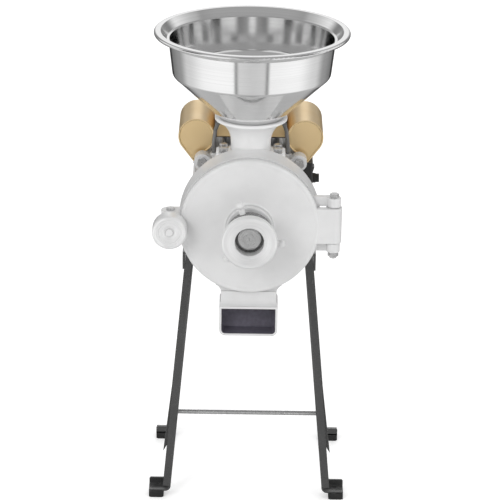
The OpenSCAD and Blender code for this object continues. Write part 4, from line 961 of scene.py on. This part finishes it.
@dataclass
class DoorClamp(SubAssembly):
    """The swing bolt that holds the door shut, and its round hand nut with a stepped face."""

    body: str = "hand_nut"
    edge: float = 3.5
    edge_steps: int = 7
    bore_r: float = 5.05
    bore_land: float = 3.0           # length of the bore's land at the back
    face: tuple[Spot, ...] = ((5.05, 4.2), (5.65, 3.7), (10.5, 2.3), (13.8, 1.9), (14.3, 1.1),
                              (17.4, 0.9), (18.0, 0.4))  # radius, deep

    def finishes(self) -> NodeFinishes:
        """The clamp's nodes by finish."""
        return {SATIN_PAINT: ("swing_bolt",), ZINC: ("clamp_pin", "clamp_washer"),
                NUT: ("clamp_nut",)}

    def build(self) -> None:
        """Turns the nut with a rolled rim, a step and a shallow cone down to the bolt's end."""
        low, high = low_of("clamp_nut"), high_of("clamp_nut")
        x, _, z = middle_of("clamp_nut")
        length = high.y - low.y
        rim = (high.x - low.x) / 2 - self.edge
        profile = [(self.bore_r, length - self.bore_land)] + list(self.face)
        profile += arc((rim, self.edge), self.edge, -90, 0, self.edge_steps)
        profile += arc((rim, length - self.edge), self.edge, 0, 90, self.edge_steps)
        profile += [(self.bore_r, length)]
        shape = Shape()
        shape.turn(profile, (x, low.y, z), Axis.Y)
        self.place("nut_casting", shape, NUT, "turned_steel", "clamp_nut")


@dataclass
class Door(SubAssembly):
    """The door with its hinge and locking ring, and a plain face over the solid's shallow dish."""

    body: str = "door"
    inner_r: float = 31.7            # at the root of the boss
    outer_r: float = 86.2
    depth: float = 1.45
    proud: float = 0.12
    fillet: float = 2.6
    fillet_steps: int = 5
    edge_fall: float = 1.2           # width of the fall at the outer edge
    edge_back: float = 0.15
    skirt: float = 4.0
    steps: int = 144

    def finishes(self) -> NodeFinishes:
        """The door's nodes by finish."""
        return {SATIN_PAINT: ("front_door",), LOCK_PAINT: ("lock_ring",),
                RUBBER: ("door_gasket",), ZINC: ("hinge_pin", "hinge_nut")}

    def build(self) -> None:
        """Turns the face as one ring round the boss."""
        centre = (0.0, low_of("discharge_spout").y, middle_of("hand_wheel")[2])
        profile = [(self.inner_r, self.depth), (self.inner_r, -self.fillet)]
        profile += arc((self.inner_r + self.fillet, -self.fillet - self.proud), self.fillet,
                       180, 90, self.fillet_steps)
        profile += [(self.outer_r - self.edge_fall, -self.proud), (self.outer_r, self.edge_back),
                    (self.outer_r - self.skirt, self.depth)]
        shape = Shape()
        shape.turn(profile, centre, Axis.Y, self.steps)
        self.place("door_face", shape, SATIN_PAINT, "silver_casting")


@dataclass
class Motor(SubAssembly):
    """The motor with its shaft, windings, bearings and fan."""

    def finishes(self) -> NodeFinishes:
        """Lists the motor's nodes.

        Returns:
            The names of the nodes for each finish.
        """
        return {SATIN_PAINT: ("motor_frame", "front_bell", "rear_bell", "fan_cover"),
                SPINDLE: ("main_shaft", "front_bearing", "rear_bearing", "rotor_core"),
                MACHINED_IRON: ("stator_core",),
                COPPER: ("stator_windings",),
                BLACK_PLASTIC: ("cooling_fan", "start_switch"),
                ZINC: ("fan_cover_screws", "bell_screws", "head_bolts", "motor_bolts")}


@dataclass
class CapacitorCover(SubAssembly):
    """A capacitor with its lead and cover, and the cover's front plate and rolled edge."""

    side: Side = Side.LEFT
    radius: float = 24.5
    wall: float = 1.2
    tip_out: float = 4.0             # the teardrop's tip, outwards from the cover's middle
    tip_down: float = 35.0
    outline_steps: int = 40
    inset: float = 1.6               # the plate behind the cover's front
    roll_r: float = 1.15
    roll_steps: int = 10

    @property
    def node(self) -> str:
        """The cover's node."""
        return f"capacitor_cover_{self.side.word}"

    def finishes(self) -> NodeFinishes:
        """The nodes of this side's capacitor by finish."""
        return {GOLD: (self.node,), CAN: (f"capacitor_{self.side.word}",),
                SLEEVING: (f"lead_{self.side.word}",)}

    def outline(self, radius: float) -> list[Spot]:
        """Draws a teardrop about the cover's middle, with its tip below.

        Args:
            radius: the radius of its round part.

        Returns:
            Its corners, sideways and up.
        """
        low, high = low_of(self.node), high_of(self.node)
        right = self.side is Side.RIGHT
        across = high.x - self.radius if right else low.x + self.radius
        up = high.z - self.radius
        tip = Vector((self.side.value * self.tip_out, -self.tip_down)) * (radius / self.radius)
        toward = math.degrees(math.atan2(tip.y, tip.x))
        reach = math.degrees(math.acos(radius / tip.length))
        points = arc((0.0, 0.0), radius, toward + reach, toward + 360 - reach, self.outline_steps)
        return [(across + a, up + b) for a, b in points + [tuple(tip)]]

    def plate(self) -> None:
        """Sets the front plate inside the cover."""
        front = low_of(self.node).y + self.inset
        shape = Shape()
        shape.draw_out(self.outline(self.radius - self.wall), Axis.Y, front, front + self.wall)
        self.place(f"cover_plate_{self.side.word}", shape, GOLD, "gold_paint")

    def rolled_edge(self) -> None:
        """Rolls the cover's front edge, in a paler gold that is a painted highlight."""
        middle = low_of(self.node).y + self.roll_r
        edge = self.outline(self.radius - self.roll_r)
        roll = arc((0.0, 0.0), self.roll_r, 0, 360 - 360 / self.roll_steps, self.roll_steps - 1)
        shape = Shape()
        rings = []
        for i, (a, b) in enumerate(edge):
            before, after = Vector(edge[i - 1]), Vector(edge[(i + 1) % len(edge)])
            along = (after - before).normalized()
            out = Vector((along.y, -along.x))
            rings.append(shape.ring((a + out.x * u, middle + v, b + out.y * u) for u, v in roll))
        shape.hoop(rings)
        self.place(f"cover_edge_{self.side.word}", shape, GOLD_HIGHLIGHT, "gold_paint",
                   crease=ROUND_CREASE)

    def build(self) -> None:
        """Builds the plate and the edge."""
        self.plate()
        self.rolled_edge()


@dataclass
class TerminalBox(SubAssembly):
    """The box over the motor, on the bracket that also carries the covers."""

    def finishes(self) -> NodeFinishes:
        """The nodes of the box and its bracket by finish."""
        # the bracket's near-black zinc is painted shadow
        return {GOLD: ("terminal_box",), SHADOW_ZINC: ("cover_bracket",)}


@dataclass
class SwitchBox(SubAssembly):
    """The switch with its rocker and the gland of the supply cord."""

    def finishes(self) -> NodeFinishes:
        """The switch's nodes by finish."""
        return {BLACK_PLASTIC: ("switch_body", "cord_gland"), ROCKER_PLASTIC: ("switch_rocker",)}


@dataclass(frozen=True)
class HexagonBolt:
    """An upright bolt on a washer and a split washer; heights count from the washer's underside."""

    shank_r: float = 3.0
    shank_l: float = 10.0
    shank_steps: int = 24
    washer_r: float = 6.3
    washer_top: float = 1.2
    split_r: float = 4.65
    split_low: float = 1.3
    split_high: float = 2.2
    split_top: float = 2.3
    washer_steps: int = 32
    head_r: float = 5.7
    head_low: float = 2.2
    head_top: float = 6.4
    chamfer_r: float = 4.8
    chamfer_low: float = 5.6

    def add_to(self, shape: Shape, seat: Point) -> None:
        """Adds the bolt to a shape.

        Args:
            shape: the shape.
            seat: the middle of the washer's underside.
        """
        r = self.shank_r
        shank = [(r, -self.shank_l), (0.0, -self.shank_l), (0.0, 0.0), (r, 0.0)]
        washer = [(r, 0.0), (self.washer_r, 0.0), (self.washer_r, self.washer_top),
                  (r, self.washer_top)]
        split = [(r, self.washer_top), (self.split_r, self.split_low),
                 (self.split_r, self.split_high), (r, self.split_top)]
        head = [(0.0, self.head_low), (self.head_r, self.head_low),
                (self.head_r, self.chamfer_low), (self.chamfer_r, self.head_top),
                (0.0, self.head_top)]
        shape.turn(shank, seat, Axis.Z, self.shank_steps)
        shape.turn(washer, seat, Axis.Z, self.washer_steps)
        shape.turn(split, seat, Axis.Z, self.washer_steps)
        shape.turn(head, seat, Axis.Z, HEXAGON)


@dataclass
class Feed(SubAssembly):
    """Feed throat with its long flare and narrow foot plates, the pillar and four bolts."""

    column_r: float = 26.6
    bore_r: float = 21.0
    flare_r: float = 33.5
    flare_drop: float = 35.0         # height of the flare
    flare_steps: int = 12
    lip_bevel: float = 0.8
    seat_edge_r: float = 43.0
    seat_slope: float = 0.945        # fall of the hopper's conical seat
    joint_drop: float = 19.0         # the joint below the node's underside
    joint_gap: float = 0.2
    plate_w: float = 92.0
    plate_l: float = 32.0
    plate_t: float = 8.0
    plate_corner: float = 7.0
    flange_t: float = 10.0           # the pillar's flange under the plate
    pillar_corner: float = 8.0
    neck_narrower: float = 14.0      # the pillar below its flange
    neck_shorter: float = 4.0
    neck_lap: float = 1.0            # how far it reaches into the flange
    neck_low: float = 12.0           # its lower end above the shaft's axis
    tube_low: float = 30.0           # lower end of the feed tube above that axis
    bolt_x: float = 36.0
    bolt_y: float = 9.0
    screw: HexagonBolt = HexagonBolt()

    @property
    def axis_y(self) -> float:
        """Place of the upright feed axis along the mill."""
        return middle_of("feed_throat")[1]

    @property
    def joint(self) -> float:
        """Height of the joint between throat and pillar."""
        return low_of("feed_throat").z - self.joint_drop

    def finishes(self) -> NodeFinishes:
        """The feed's nodes by finish."""
        return {LIT_CASTING_PAINT: ("feed_throat", "feed_pillar"), ZINC: ("throat_bolts",)}

    def throat(self) -> None:
        """Turns the column with its flare, and adds the foot plates."""
        low, high = low_of("feed_throat"), high_of("feed_throat")
        y, joint, top = self.axis_y, self.joint, high.z
        mouth_r = (high.x - low.x) / 2
        seat_drop = self.seat_slope * (self.seat_edge_r - self.bore_r)
        out = mouth_r - self.column_r
        turn = math.degrees(math.acos((self.flare_r - out) / self.flare_r))
        profile = [(self.bore_r, joint), (self.column_r, joint)]
        profile += arc((self.column_r + self.flare_r, top - self.flare_drop), self.flare_r,
                       180, 180 - turn, self.flare_steps)
        profile += [(mouth_r, top - self.lip_bevel), (mouth_r - self.lip_bevel, top),
                    (self.seat_edge_r, top), (self.bore_r, top - seat_drop)]
        shape = Shape()
        shape.turn(profile, (0.0, y, 0.0), Axis.Z)
        plate = rounded_plate(self.plate_w, self.plate_l, self.plate_corner, (0.0, y))
        shape.draw_out(plate, Axis.Z, joint + self.joint_gap, joint + self.plate_t)
        self.place("throat_casting", shape, LIT_CASTING_PAINT, "silver_casting", "feed_throat")

    def pillar(self) -> None:
        """Builds the pillar's flange, the narrower neck below it and the feed tube inside."""
        shaft = middle_of("hand_wheel")[2]
        y, joint = self.axis_y, self.joint
        flange_low = joint - self.flange_t
        flange = rounded_plate(self.plate_w, self.plate_l, self.pillar_corner, (0.0, y))
        neck = rounded_plate(self.plate_w - self.neck_narrower, self.plate_l - self.neck_shorter,
                             self.pillar_corner, (0.0, y))
        tube_low = shaft + self.tube_low
        tube = [(self.bore_r, tube_low), (self.column_r, tube_low), (self.column_r, joint),
                (self.bore_r, joint)]
        shape = Shape()
        shape.draw_out(flange, Axis.Z, flange_low, joint)
        shape.draw_out(neck, Axis.Z, shaft + self.neck_low, flange_low + self.neck_lap)
        shape.turn(tube, (0.0, y, 0.0), Axis.Z)
        self.place("pillar_casting", shape, LIT_CASTING_PAINT, "silver_casting", "feed_pillar")

    def bolts(self) -> None:
        """Sets the four bolts on the foot plates."""
        y, seat_z = self.axis_y, self.joint + self.plate_t
        shape = Shape()
        for side in Side:
            for end in End:
                seat = (side.value * self.bolt_x, y + end.value * self.bolt_y, seat_z)
                self.screw.add_to(shape, seat)
        self.place("foot_bolts", shape, ZINC, "zinc", "throat_bolts")

    def build(self) -> None:
        """Builds the throat, the pillar and the bolts."""
        self.throat()
        self.pillar()
        self.bolts()


@dataclass
class Rails(SubAssembly):
    """The stand's two rails, which the motor's feet are bolted to."""

    def finishes(self) -> NodeFinishes:
        """The rails' nodes by finish."""
        return {BLACK_PAINT: ("rail_left", "rail_right")}


@dataclass
class Leg(SubAssembly):
    """One leg: a channel with rounded bends, its bent foot and, in front, a flared piece."""

    side: Side = Side.LEFT
    end: End = End.FRONT
    width: float = 11.0              # of the channel, outwards
    depth: float = 24.0              # of the channel, along the mill
    sheet: float = 2.6
    corner: float = 3.2              # outside radius of the channel's bends
    corner_steps: int = 6
    bend_r: float = 8.0              # outside radius of the bend above the foot
    bend_steps: int = 8
    floor_in: float = 107.0          # inner face from the mill's middle, at the floor
    rail_in: float = 77.2            # the same at the rail
    rail_low: float = 325.0          # height of the rail's underside
    rail_overhang: float = 2.0       # the rails reach this far past the front legs
    top_gap: float = 0.2
    pad_t: float = 9.0
    plate_trim: float = 3.0          # how much shorter the rear foot plates are
    upstand: float = 11.0
    upstand_low: float = 0.5
    upstand_lap: float = 3.0         # how far the upstand reaches in past the bend
    upstand_bevel: Spot = (1.5, 2.0)
    flare_top: float = 196.0
    flare_low: float = 66.0
    flare_lap: float = 2.0
    flare_foot: tuple[Spot, ...] = ((5.0, 58.0), (-1.0, 68.0), (-2.0, 72.0))  # outwards, height

    @property
    def node(self) -> str:
        """The node that this leg stands for."""
        return f"leg_{self.end.word}_{self.side.word}"

    @property
    def face(self) -> float:
        """Distance of the leg's outer face from the mill's middle, at the floor."""
        return max(abs(low_of(self.node).y), abs(high_of(self.node).y))

    @property
    def face_at_top(self) -> float:
        """The same at the rail, from the rail's ends."""
        front = self.end is End.FRONT
        return -low_of("rail_right").y - self.rail_overhang if front else high_of("rail_right").y

    @property
    def lean(self) -> float:
        """How far the leg leans in along the mill for each millimetre of height."""
        return (self.face - self.face_at_top) / high_of(self.node).z

    @property
    def bend_top(self) -> float:
        """Height at which the bend above the foot meets the channel."""
        return self.pad_t + self.bend_r

    def finishes(self) -> NodeFinishes:
        """The leg's node by finish."""
        return {BLACK_PAINT: (self.node,)}

    def inner(self, z: float) -> float:
        """Distance of the leg's inner face from the mill's middle at a height."""
        return self.floor_in - (self.floor_in - self.rail_in) * z / self.rail_low

    def section(self) -> list[Spot]:
        """Draws the channel's section.

        Returns:
            Its corners, outwards from the inner face and in from the outer flange.
        """
        r, t, w, d = self.corner, self.sheet, self.width, self.depth
        steps, inside_steps = self.corner_steps, self.corner_steps // 2
        corners = [(w, 0.0)]
        corners += arc((r, r), r, -90, -180, steps) + arc((r, d - r), r, 180, 90, steps)
        corners += [(w, d), (w, d - t)]
        corners += arc((r, d - r), r - t, 90, 180, inside_steps)
        corners += arc((r, r), r - t, 180, 270, inside_steps)
        corners += [(w, t)]
        return corners

    def channel(self, shape: Shape) -> None:
        """Adds the channel from the foot's bend up to the rail.

        Args:
            shape: the leg's shape.
        """
        face, lean, section = self.face, self.lean, self.section()
        heights = (self.bend_top, high_of(self.node).z - self.top_gap)
        shape.bar([shape.ring((self.inner(z) + u, face - lean * z - v, z) for u, v in section)
                   for z in heights])

    def foot(self, shape: Shape) -> None:
        """Adds the bend, the foot plate and the upstand along its inner edge.

        Args:
            shape: the leg's shape.
        """
        reach = max(abs(low_of(self.node).x), abs(high_of(self.node).x))
        tip = reach - (self.plate_trim if self.end is End.REAR else 0.0)
        centre = (self.inner(self.bend_top) + self.bend_r, self.bend_top)
        bent = arc(centre, self.bend_r, 180, 270, self.bend_steps)
        bent += [(tip, self.pad_t), (tip, self.pad_t + self.sheet)]
        bent += arc(centre, self.bend_r - self.sheet, 270, 180, self.bend_steps)
        outside = self.face - self.lean * self.bend_top
        inside = outside - self.depth
        shape.draw_out(bent, Axis.Y, inside, outside)
        low, high = self.pad_t + self.upstand_low, self.pad_t + self.upstand
        bevel_in, bevel_down = self.upstand_bevel
        wall = [(centre[0], low), (tip, low), (tip, high - bevel_down), (tip - bevel_in, high),
                (centre[0] - self.upstand_lap, high)]
        shape.draw_out(wall, Axis.Y, inside, inside + self.sheet)

    def flared_piece(self, shape: Shape) -> None:
        """Adds the piece that flares out low on a front leg, and leans with the leg.

        Args:
            shape: the leg's shape.
        """
        top_x = self.inner(self.flare_top) + self.width
        low_x = self.inner(self.flare_low) + self.width
        outline = [(top_x - self.flare_lap, self.flare_top), (top_x, self.flare_top)]
        outline += [(low_x + out, z) for out, z in self.flare_foot]
        lean, inside = self.lean, self.face - self.depth
        for corner in shape.draw_out(outline, Axis.Y, inside, inside + self.sheet):
            corner.co.y -= lean * corner.co.z

    def build(self) -> None:
        """Builds the leg in the quarter where X and Y are positive, and mirrors it into its own."""
        shape = Shape()
        self.channel(shape)
        self.foot(shape)
        if self.end is End.FRONT:
            self.flared_piece(shape)
        for corner in shape.mesh.verts:
            corner.co.x *= self.side.value
            corner.co.y *= self.end.value
        self.place(self.node + "_channel", shape, BLACK_PAINT, "black_paint", self.node)


@dataclass
class TieRod(SubAssembly):
    """The threaded rod between the front legs, with a nut outside each leg."""

    radius: float = 3.25
    depth: float = 0.45
    pitch: float = 1.5
    reach: float = 104.0             # half the rod's length
    rod_steps: int = 20
    nut_x: float = 99.4
    nut_t: float = 4.5
    nut_r: float = 6.175
    crease: float = 20.0

    def finishes(self) -> NodeFinishes:
        """The rod's node by finish."""
        return {ZINC: ("tie_rod",)}

    def build(self) -> None:
        """Turns the rod upright with its nuts, lays it across the mill and sets it in place."""
        count = int(2 * self.reach / self.pitch)
        ridge = [(self.radius - self.depth * (k % 2), -self.reach + k * self.pitch / 2)
                 for k in range(2 * count + 1)]
        origin = (0.0, 0.0, 0.0)
        shape = Shape()
        shape.turn([(0.0, -self.reach)] + ridge + [(0.0, self.reach)], origin, Axis.Z,
                   self.rod_steps)
        for side in Side:
            low, high = sorted((side.value * self.nut_x, side.value * (self.nut_x + self.nut_t)))
            nut = [(self.radius, low), (self.nut_r, low), (self.nut_r, high), (self.radius, high)]
            shape.turn(nut, origin, Axis.Z, HEXAGON)
        bmesh.ops.rotate(shape.mesh, cent=origin, matrix=Matrix.Rotation(math.pi / 2, 3, "Y"),
                         verts=shape.mesh.verts)
        _, y, z = middle_of("tie_rod")
        bmesh.ops.translate(shape.mesh, vec=(0.0, y, z), verts=shape.mesh.verts)
        self.place("cross_rod", shape, ZINC, "zinc", "tie_rod", crease=self.crease)


@dataclass
class Pads(SubAssembly):
    """The four rubber pads, as long as the foot plates."""

    length: float = 20.6
    depth: float = 24.0
    corner: float = 2.5
    bevel: float = 1.2
    bevel_steps: int = 3
    bevel_round: float = 0.5         # profile of a round bevel
    rear_trim: float = 3.0           # how much further in the rear pads end
    level: float = 1e-6              # an edge with less rise than this lies flat

    def finishes(self) -> NodeFinishes:
        """The pads' node by finish."""
        return {RUBBER: ("foot_pads",)}

    def build(self) -> None:
        """Builds the pads with rounded edges as one piece."""
        low, high = low_of("foot_pads"), high_of("foot_pads")
        shape = Shape()
        rows = ((low.y + self.depth / 2, 0.0), (high.y - self.depth / 2, self.rear_trim))
        for y, trim in rows:
            for x in (low.x + trim + self.length / 2, high.x - trim - self.length / 2):
                pad = rounded_plate(self.length, self.depth, self.corner, (x, y))
                shape.draw_out(pad, Axis.Z, low.z, high.z)
        rims = [edge for edge in shape.mesh.edges
                if abs(edge.verts[0].co.z - edge.verts[1].co.z) < self.level]
        bmesh.ops.bevel(shape.mesh, geom=rims, offset=self.bevel, segments=self.bevel_steps,
                        profile=self.bevel_round, affect="EDGES")
        self.place("rubber_pads", shape, RUBBER, "black_rubber", "foot_pads")


def sub_assemblies() -> list[SubAssembly]:
    """Lists the mill's sub-assemblies.

    Returns:
        All of them, in the order in which they are built.
    """
    covers = [CapacitorCover(side=side) for side in Side]
    legs = [Leg(side=side, end=end) for side in Side for end in End]
    return [Hopper(), GrindingHead(), Adjuster(), ThrustSpindle(), DoorClamp(), Door(), Motor(),
            *covers, TerminalBox(), SwitchBox(), Feed(), Rails(), *legs, TieRod(), Pads()]


# ------------------------------------------------------------------------------------------------
# Studio


@dataclass(frozen=True)
class Lamp:
    """A soft rectangular light."""

    name: str
    place: Point
    size: Spot    # width and height
    power: float  # in watts

    def hang(self, aim: Point) -> None:
        """Adds the light, out of sight of mirroring surfaces.

        Args:
            aim: the point that it faces.
        """
        data = bpy.data.lights.new(self.name, "AREA")
        data.shape = "RECTANGLE"
        data.size, data.size_y = self.size
        data.energy = self.power
        lamp = bpy.data.objects.new(self.name, data)
        lamp.visible_glossy = False
        lamp.location = self.place
        toward = Vector(aim) - Vector(self.place)
        lamp.rotation_mode = "QUATERNION"
        lamp.rotation_quaternion = toward.to_track_quat("-Z", "Y")
        bpy.context.collection.objects.link(lamp)


@dataclass
class Studio:
    """The pale floor, the soft lights and the camera.

    Polished metal mirrors bands of grey in the floor and the world, which only glossy rays see.
    Each band is a bearing from the front, as a share of a half turn, and the grey there.
    """

    target: Point = (0.0, 0.0, 0.33)      # what the camera looks at
    distance: float = 3.632
    elevation: float = 20.3
    lens: float = 187.2
    sensor: float = 36.0
    roll: float = 0.8
    side_shift: float = 0.0014
    floor_size: float = 14.0
    floor_grey: float = 0.86
    floor_roughness: float = 0.9
    floor_lift: float = 0.35              # glow of the floor, for the camera alone
    floor_near: float = 0.52              # grey that metal mirrors close to the mill
    bands_from: Spot = (0.5, 1.1)         # distances between which the floor's bands set in
    floor_bands: tuple[Spot, ...] = (
        (0.0, 0.62), (0.09, 0.66), (0.112, 0.26), (0.135, 0.95), (0.36, 1.0), (0.54, 0.75),
        (0.66, 0.35), (0.80, 0.22), (0.85, 0.02), (0.91, 0.02), (0.95, 0.5))
    overhead: float = 0.75                # the world's grey straight above
    overhead_gloss: float = 0.4           # the same as metal mirrors it
    overhead_from: Spot = (0.35, 0.8)     # upward part of a ray between which it sets in
    world_bands: tuple[Spot, ...] = (
        (0.0, 0.30), (0.07, 0.34), (0.12, 0.85), (0.30, 0.95), (0.38, 0.12), (0.47, 0.08),
        (0.53, 0.8), (0.70, 0.9), (0.80, 0.25), (0.91, 0.35), (0.985, 0.95))
    lamp_aim: Point = (0.0, 0.0, 0.4)
    lamps: tuple[Lamp, ...] = (
        Lamp("key", (-1.5, -2.4, 1.9), (1.2, 1.4), 30.0),
        Lamp("fill", (2.3, -1.6, 1.2), (1.0, 1.6), 16.0),
        Lamp("back", (0.3, 2.4, 2.4), (2.0, 1.2), 22.0))

    def camera(self) -> None:
        """Puts the camera in front of the mill and above it."""
        data = bpy.data.cameras.new("camera")
        camera = bpy.data.objects.new("camera", data)
        bpy.context.collection.objects.link(camera)
        lift = math.radians(self.elevation)
        away = Vector((0.0, -math.cos(lift), math.sin(lift))) * self.distance
        camera.location = Vector(self.target) + away
        level = (-away).to_track_quat("-Z", "Y")
        camera.rotation_mode = "QUATERNION"
        camera.rotation_quaternion = level @ Quaternion((0.0, 0.0, 1.0), math.radians(self.roll))
        data.lens = self.lens
        data.sensor_width = self.sensor
        data.shift_x = self.side_shift
        bpy.context.scene.camera = camera

    @staticmethod
    def bands(graph: Graph, x: Socket, y: Socket, levels: Sequence[Spot]) -> Socket:
        """Grey levels by the bearing of (x, y) from the front, the same on both sides.

        Args:
            graph: where the nodes go.
            x: sideways place or direction.
            y: the same along the mill, to the back.
            levels: bearing as a share of a half turn, and the grey there.

        Returns:
            The colour socket.
        """
        bearing = graph.math("ABSOLUTE", graph.math("ARCTAN2", x, graph.math("MULTIPLY", y, -1.0)))
        node = graph.feed(graph.add("ValToRGB"), Fac=graph.math("DIVIDE", bearing, math.pi, True))
        ramp = node.color_ramp
        ramp.interpolation = "EASE"
        for place, level in levels:
            ramp.elements.new(place).color = grey(level)
        ramp.elements.remove(ramp.elements[0])
        ramp.elements.remove(ramp.elements[len(ramp.elements) - 1])
        return node.outputs[0]

    def floor(self) -> None:
        """Lays a wide, plain, pale floor."""
        half = self.floor_size / 2
        mesh = bpy.data.meshes.new("floor")
        corners = [(-half, -half, 0), (half, -half, 0), (half, half, 0), (-half, half, 0)]
        mesh.from_pydata(corners, [], [(0, 1, 2, 3)])
        floor = bpy.data.objects.new("floor", mesh)
        bpy.context.collection.objects.link(floor)
        material = bpy.data.materials.new("floor")
        material.use_nodes = True
        graph = Graph(material.node_tree)
        path = graph.add("LightPath")
        seen = graph.math("MULTIPLY", path.outputs["Is Camera Ray"], self.floor_lift)
        where = graph.where()
        x, y, _ = graph.parts(where)
        bands = self.bands(graph, x, y, self.floor_bands)
        far = graph.ramp(graph.length(where), *self.bands_from)
        mirrored = graph.mix(far, grey(self.floor_near), bands)
        colour = graph.mix(path.outputs["Is Glossy Ray"], grey(self.floor_grey), mirrored)
        graph.feed(material.node_tree.nodes["Principled BSDF"], Base_Color=colour,
                   Roughness=self.floor_roughness, Emission_Color=grey(1.0),
                   Emission_Strength=seen)
        mesh.materials.append(material)

    def world(self) -> None:
        """Surrounds the mill with soft studio bands; the camera itself sees plain white."""
        world = bpy.data.worlds.new("world")
        world.use_nodes = True
        bpy.context.scene.world = world
        nodes = world.node_tree.nodes
        graph = Graph(world.node_tree)
        x, y, z = graph.parts(graph.add("TexCoord").outputs["Generated"])
        bands = self.bands(graph, x, y, self.world_bands)
        path = graph.add("LightPath")
        above = graph.mix(path.outputs["Is Glossy Ray"], grey(self.overhead),
                          grey(self.overhead_gloss))
        sky = graph.mix(graph.ramp(z, *self.overhead_from), bands, above)
        back = graph.feed(nodes["Background"], Color=sky, Strength=1.0)
        white = graph.feed(graph.add("Background"), Color=grey(1.0), Strength=1.0)
        both = graph.feed(graph.add("MixShader"), i0=path.outputs["Is Camera Ray"],
                          i1=back.outputs[0], i2=white.outputs[0])
        graph.feed(nodes["World Output"], Surface=both.outputs[0])

    def build(self) -> None:
        """Builds the whole studio."""
        self.camera()
        self.floor()
        self.world()
        for lamp in self.lamps:
            lamp.hang(self.lamp_aim)
        bpy.context.scene.view_settings.view_transform = "Standard"
        LOG.info("studio: camera, floor, world and %d lamps", len(self.lamps))


def main() -> None:
    """Builds the studio and the shared groups, then dresses and builds every sub-assembly."""
    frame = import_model()
    Studio().build()
    build_groups()
    parts = sub_assemblies()
    for part in parts:
        part.dress(frame["nodes"])
    for part in parts:
        part.build()


if __name__ == "__main__":
    logging.basicConfig(level=logging.INFO, format="%(name)s: %(message)s")
    main()
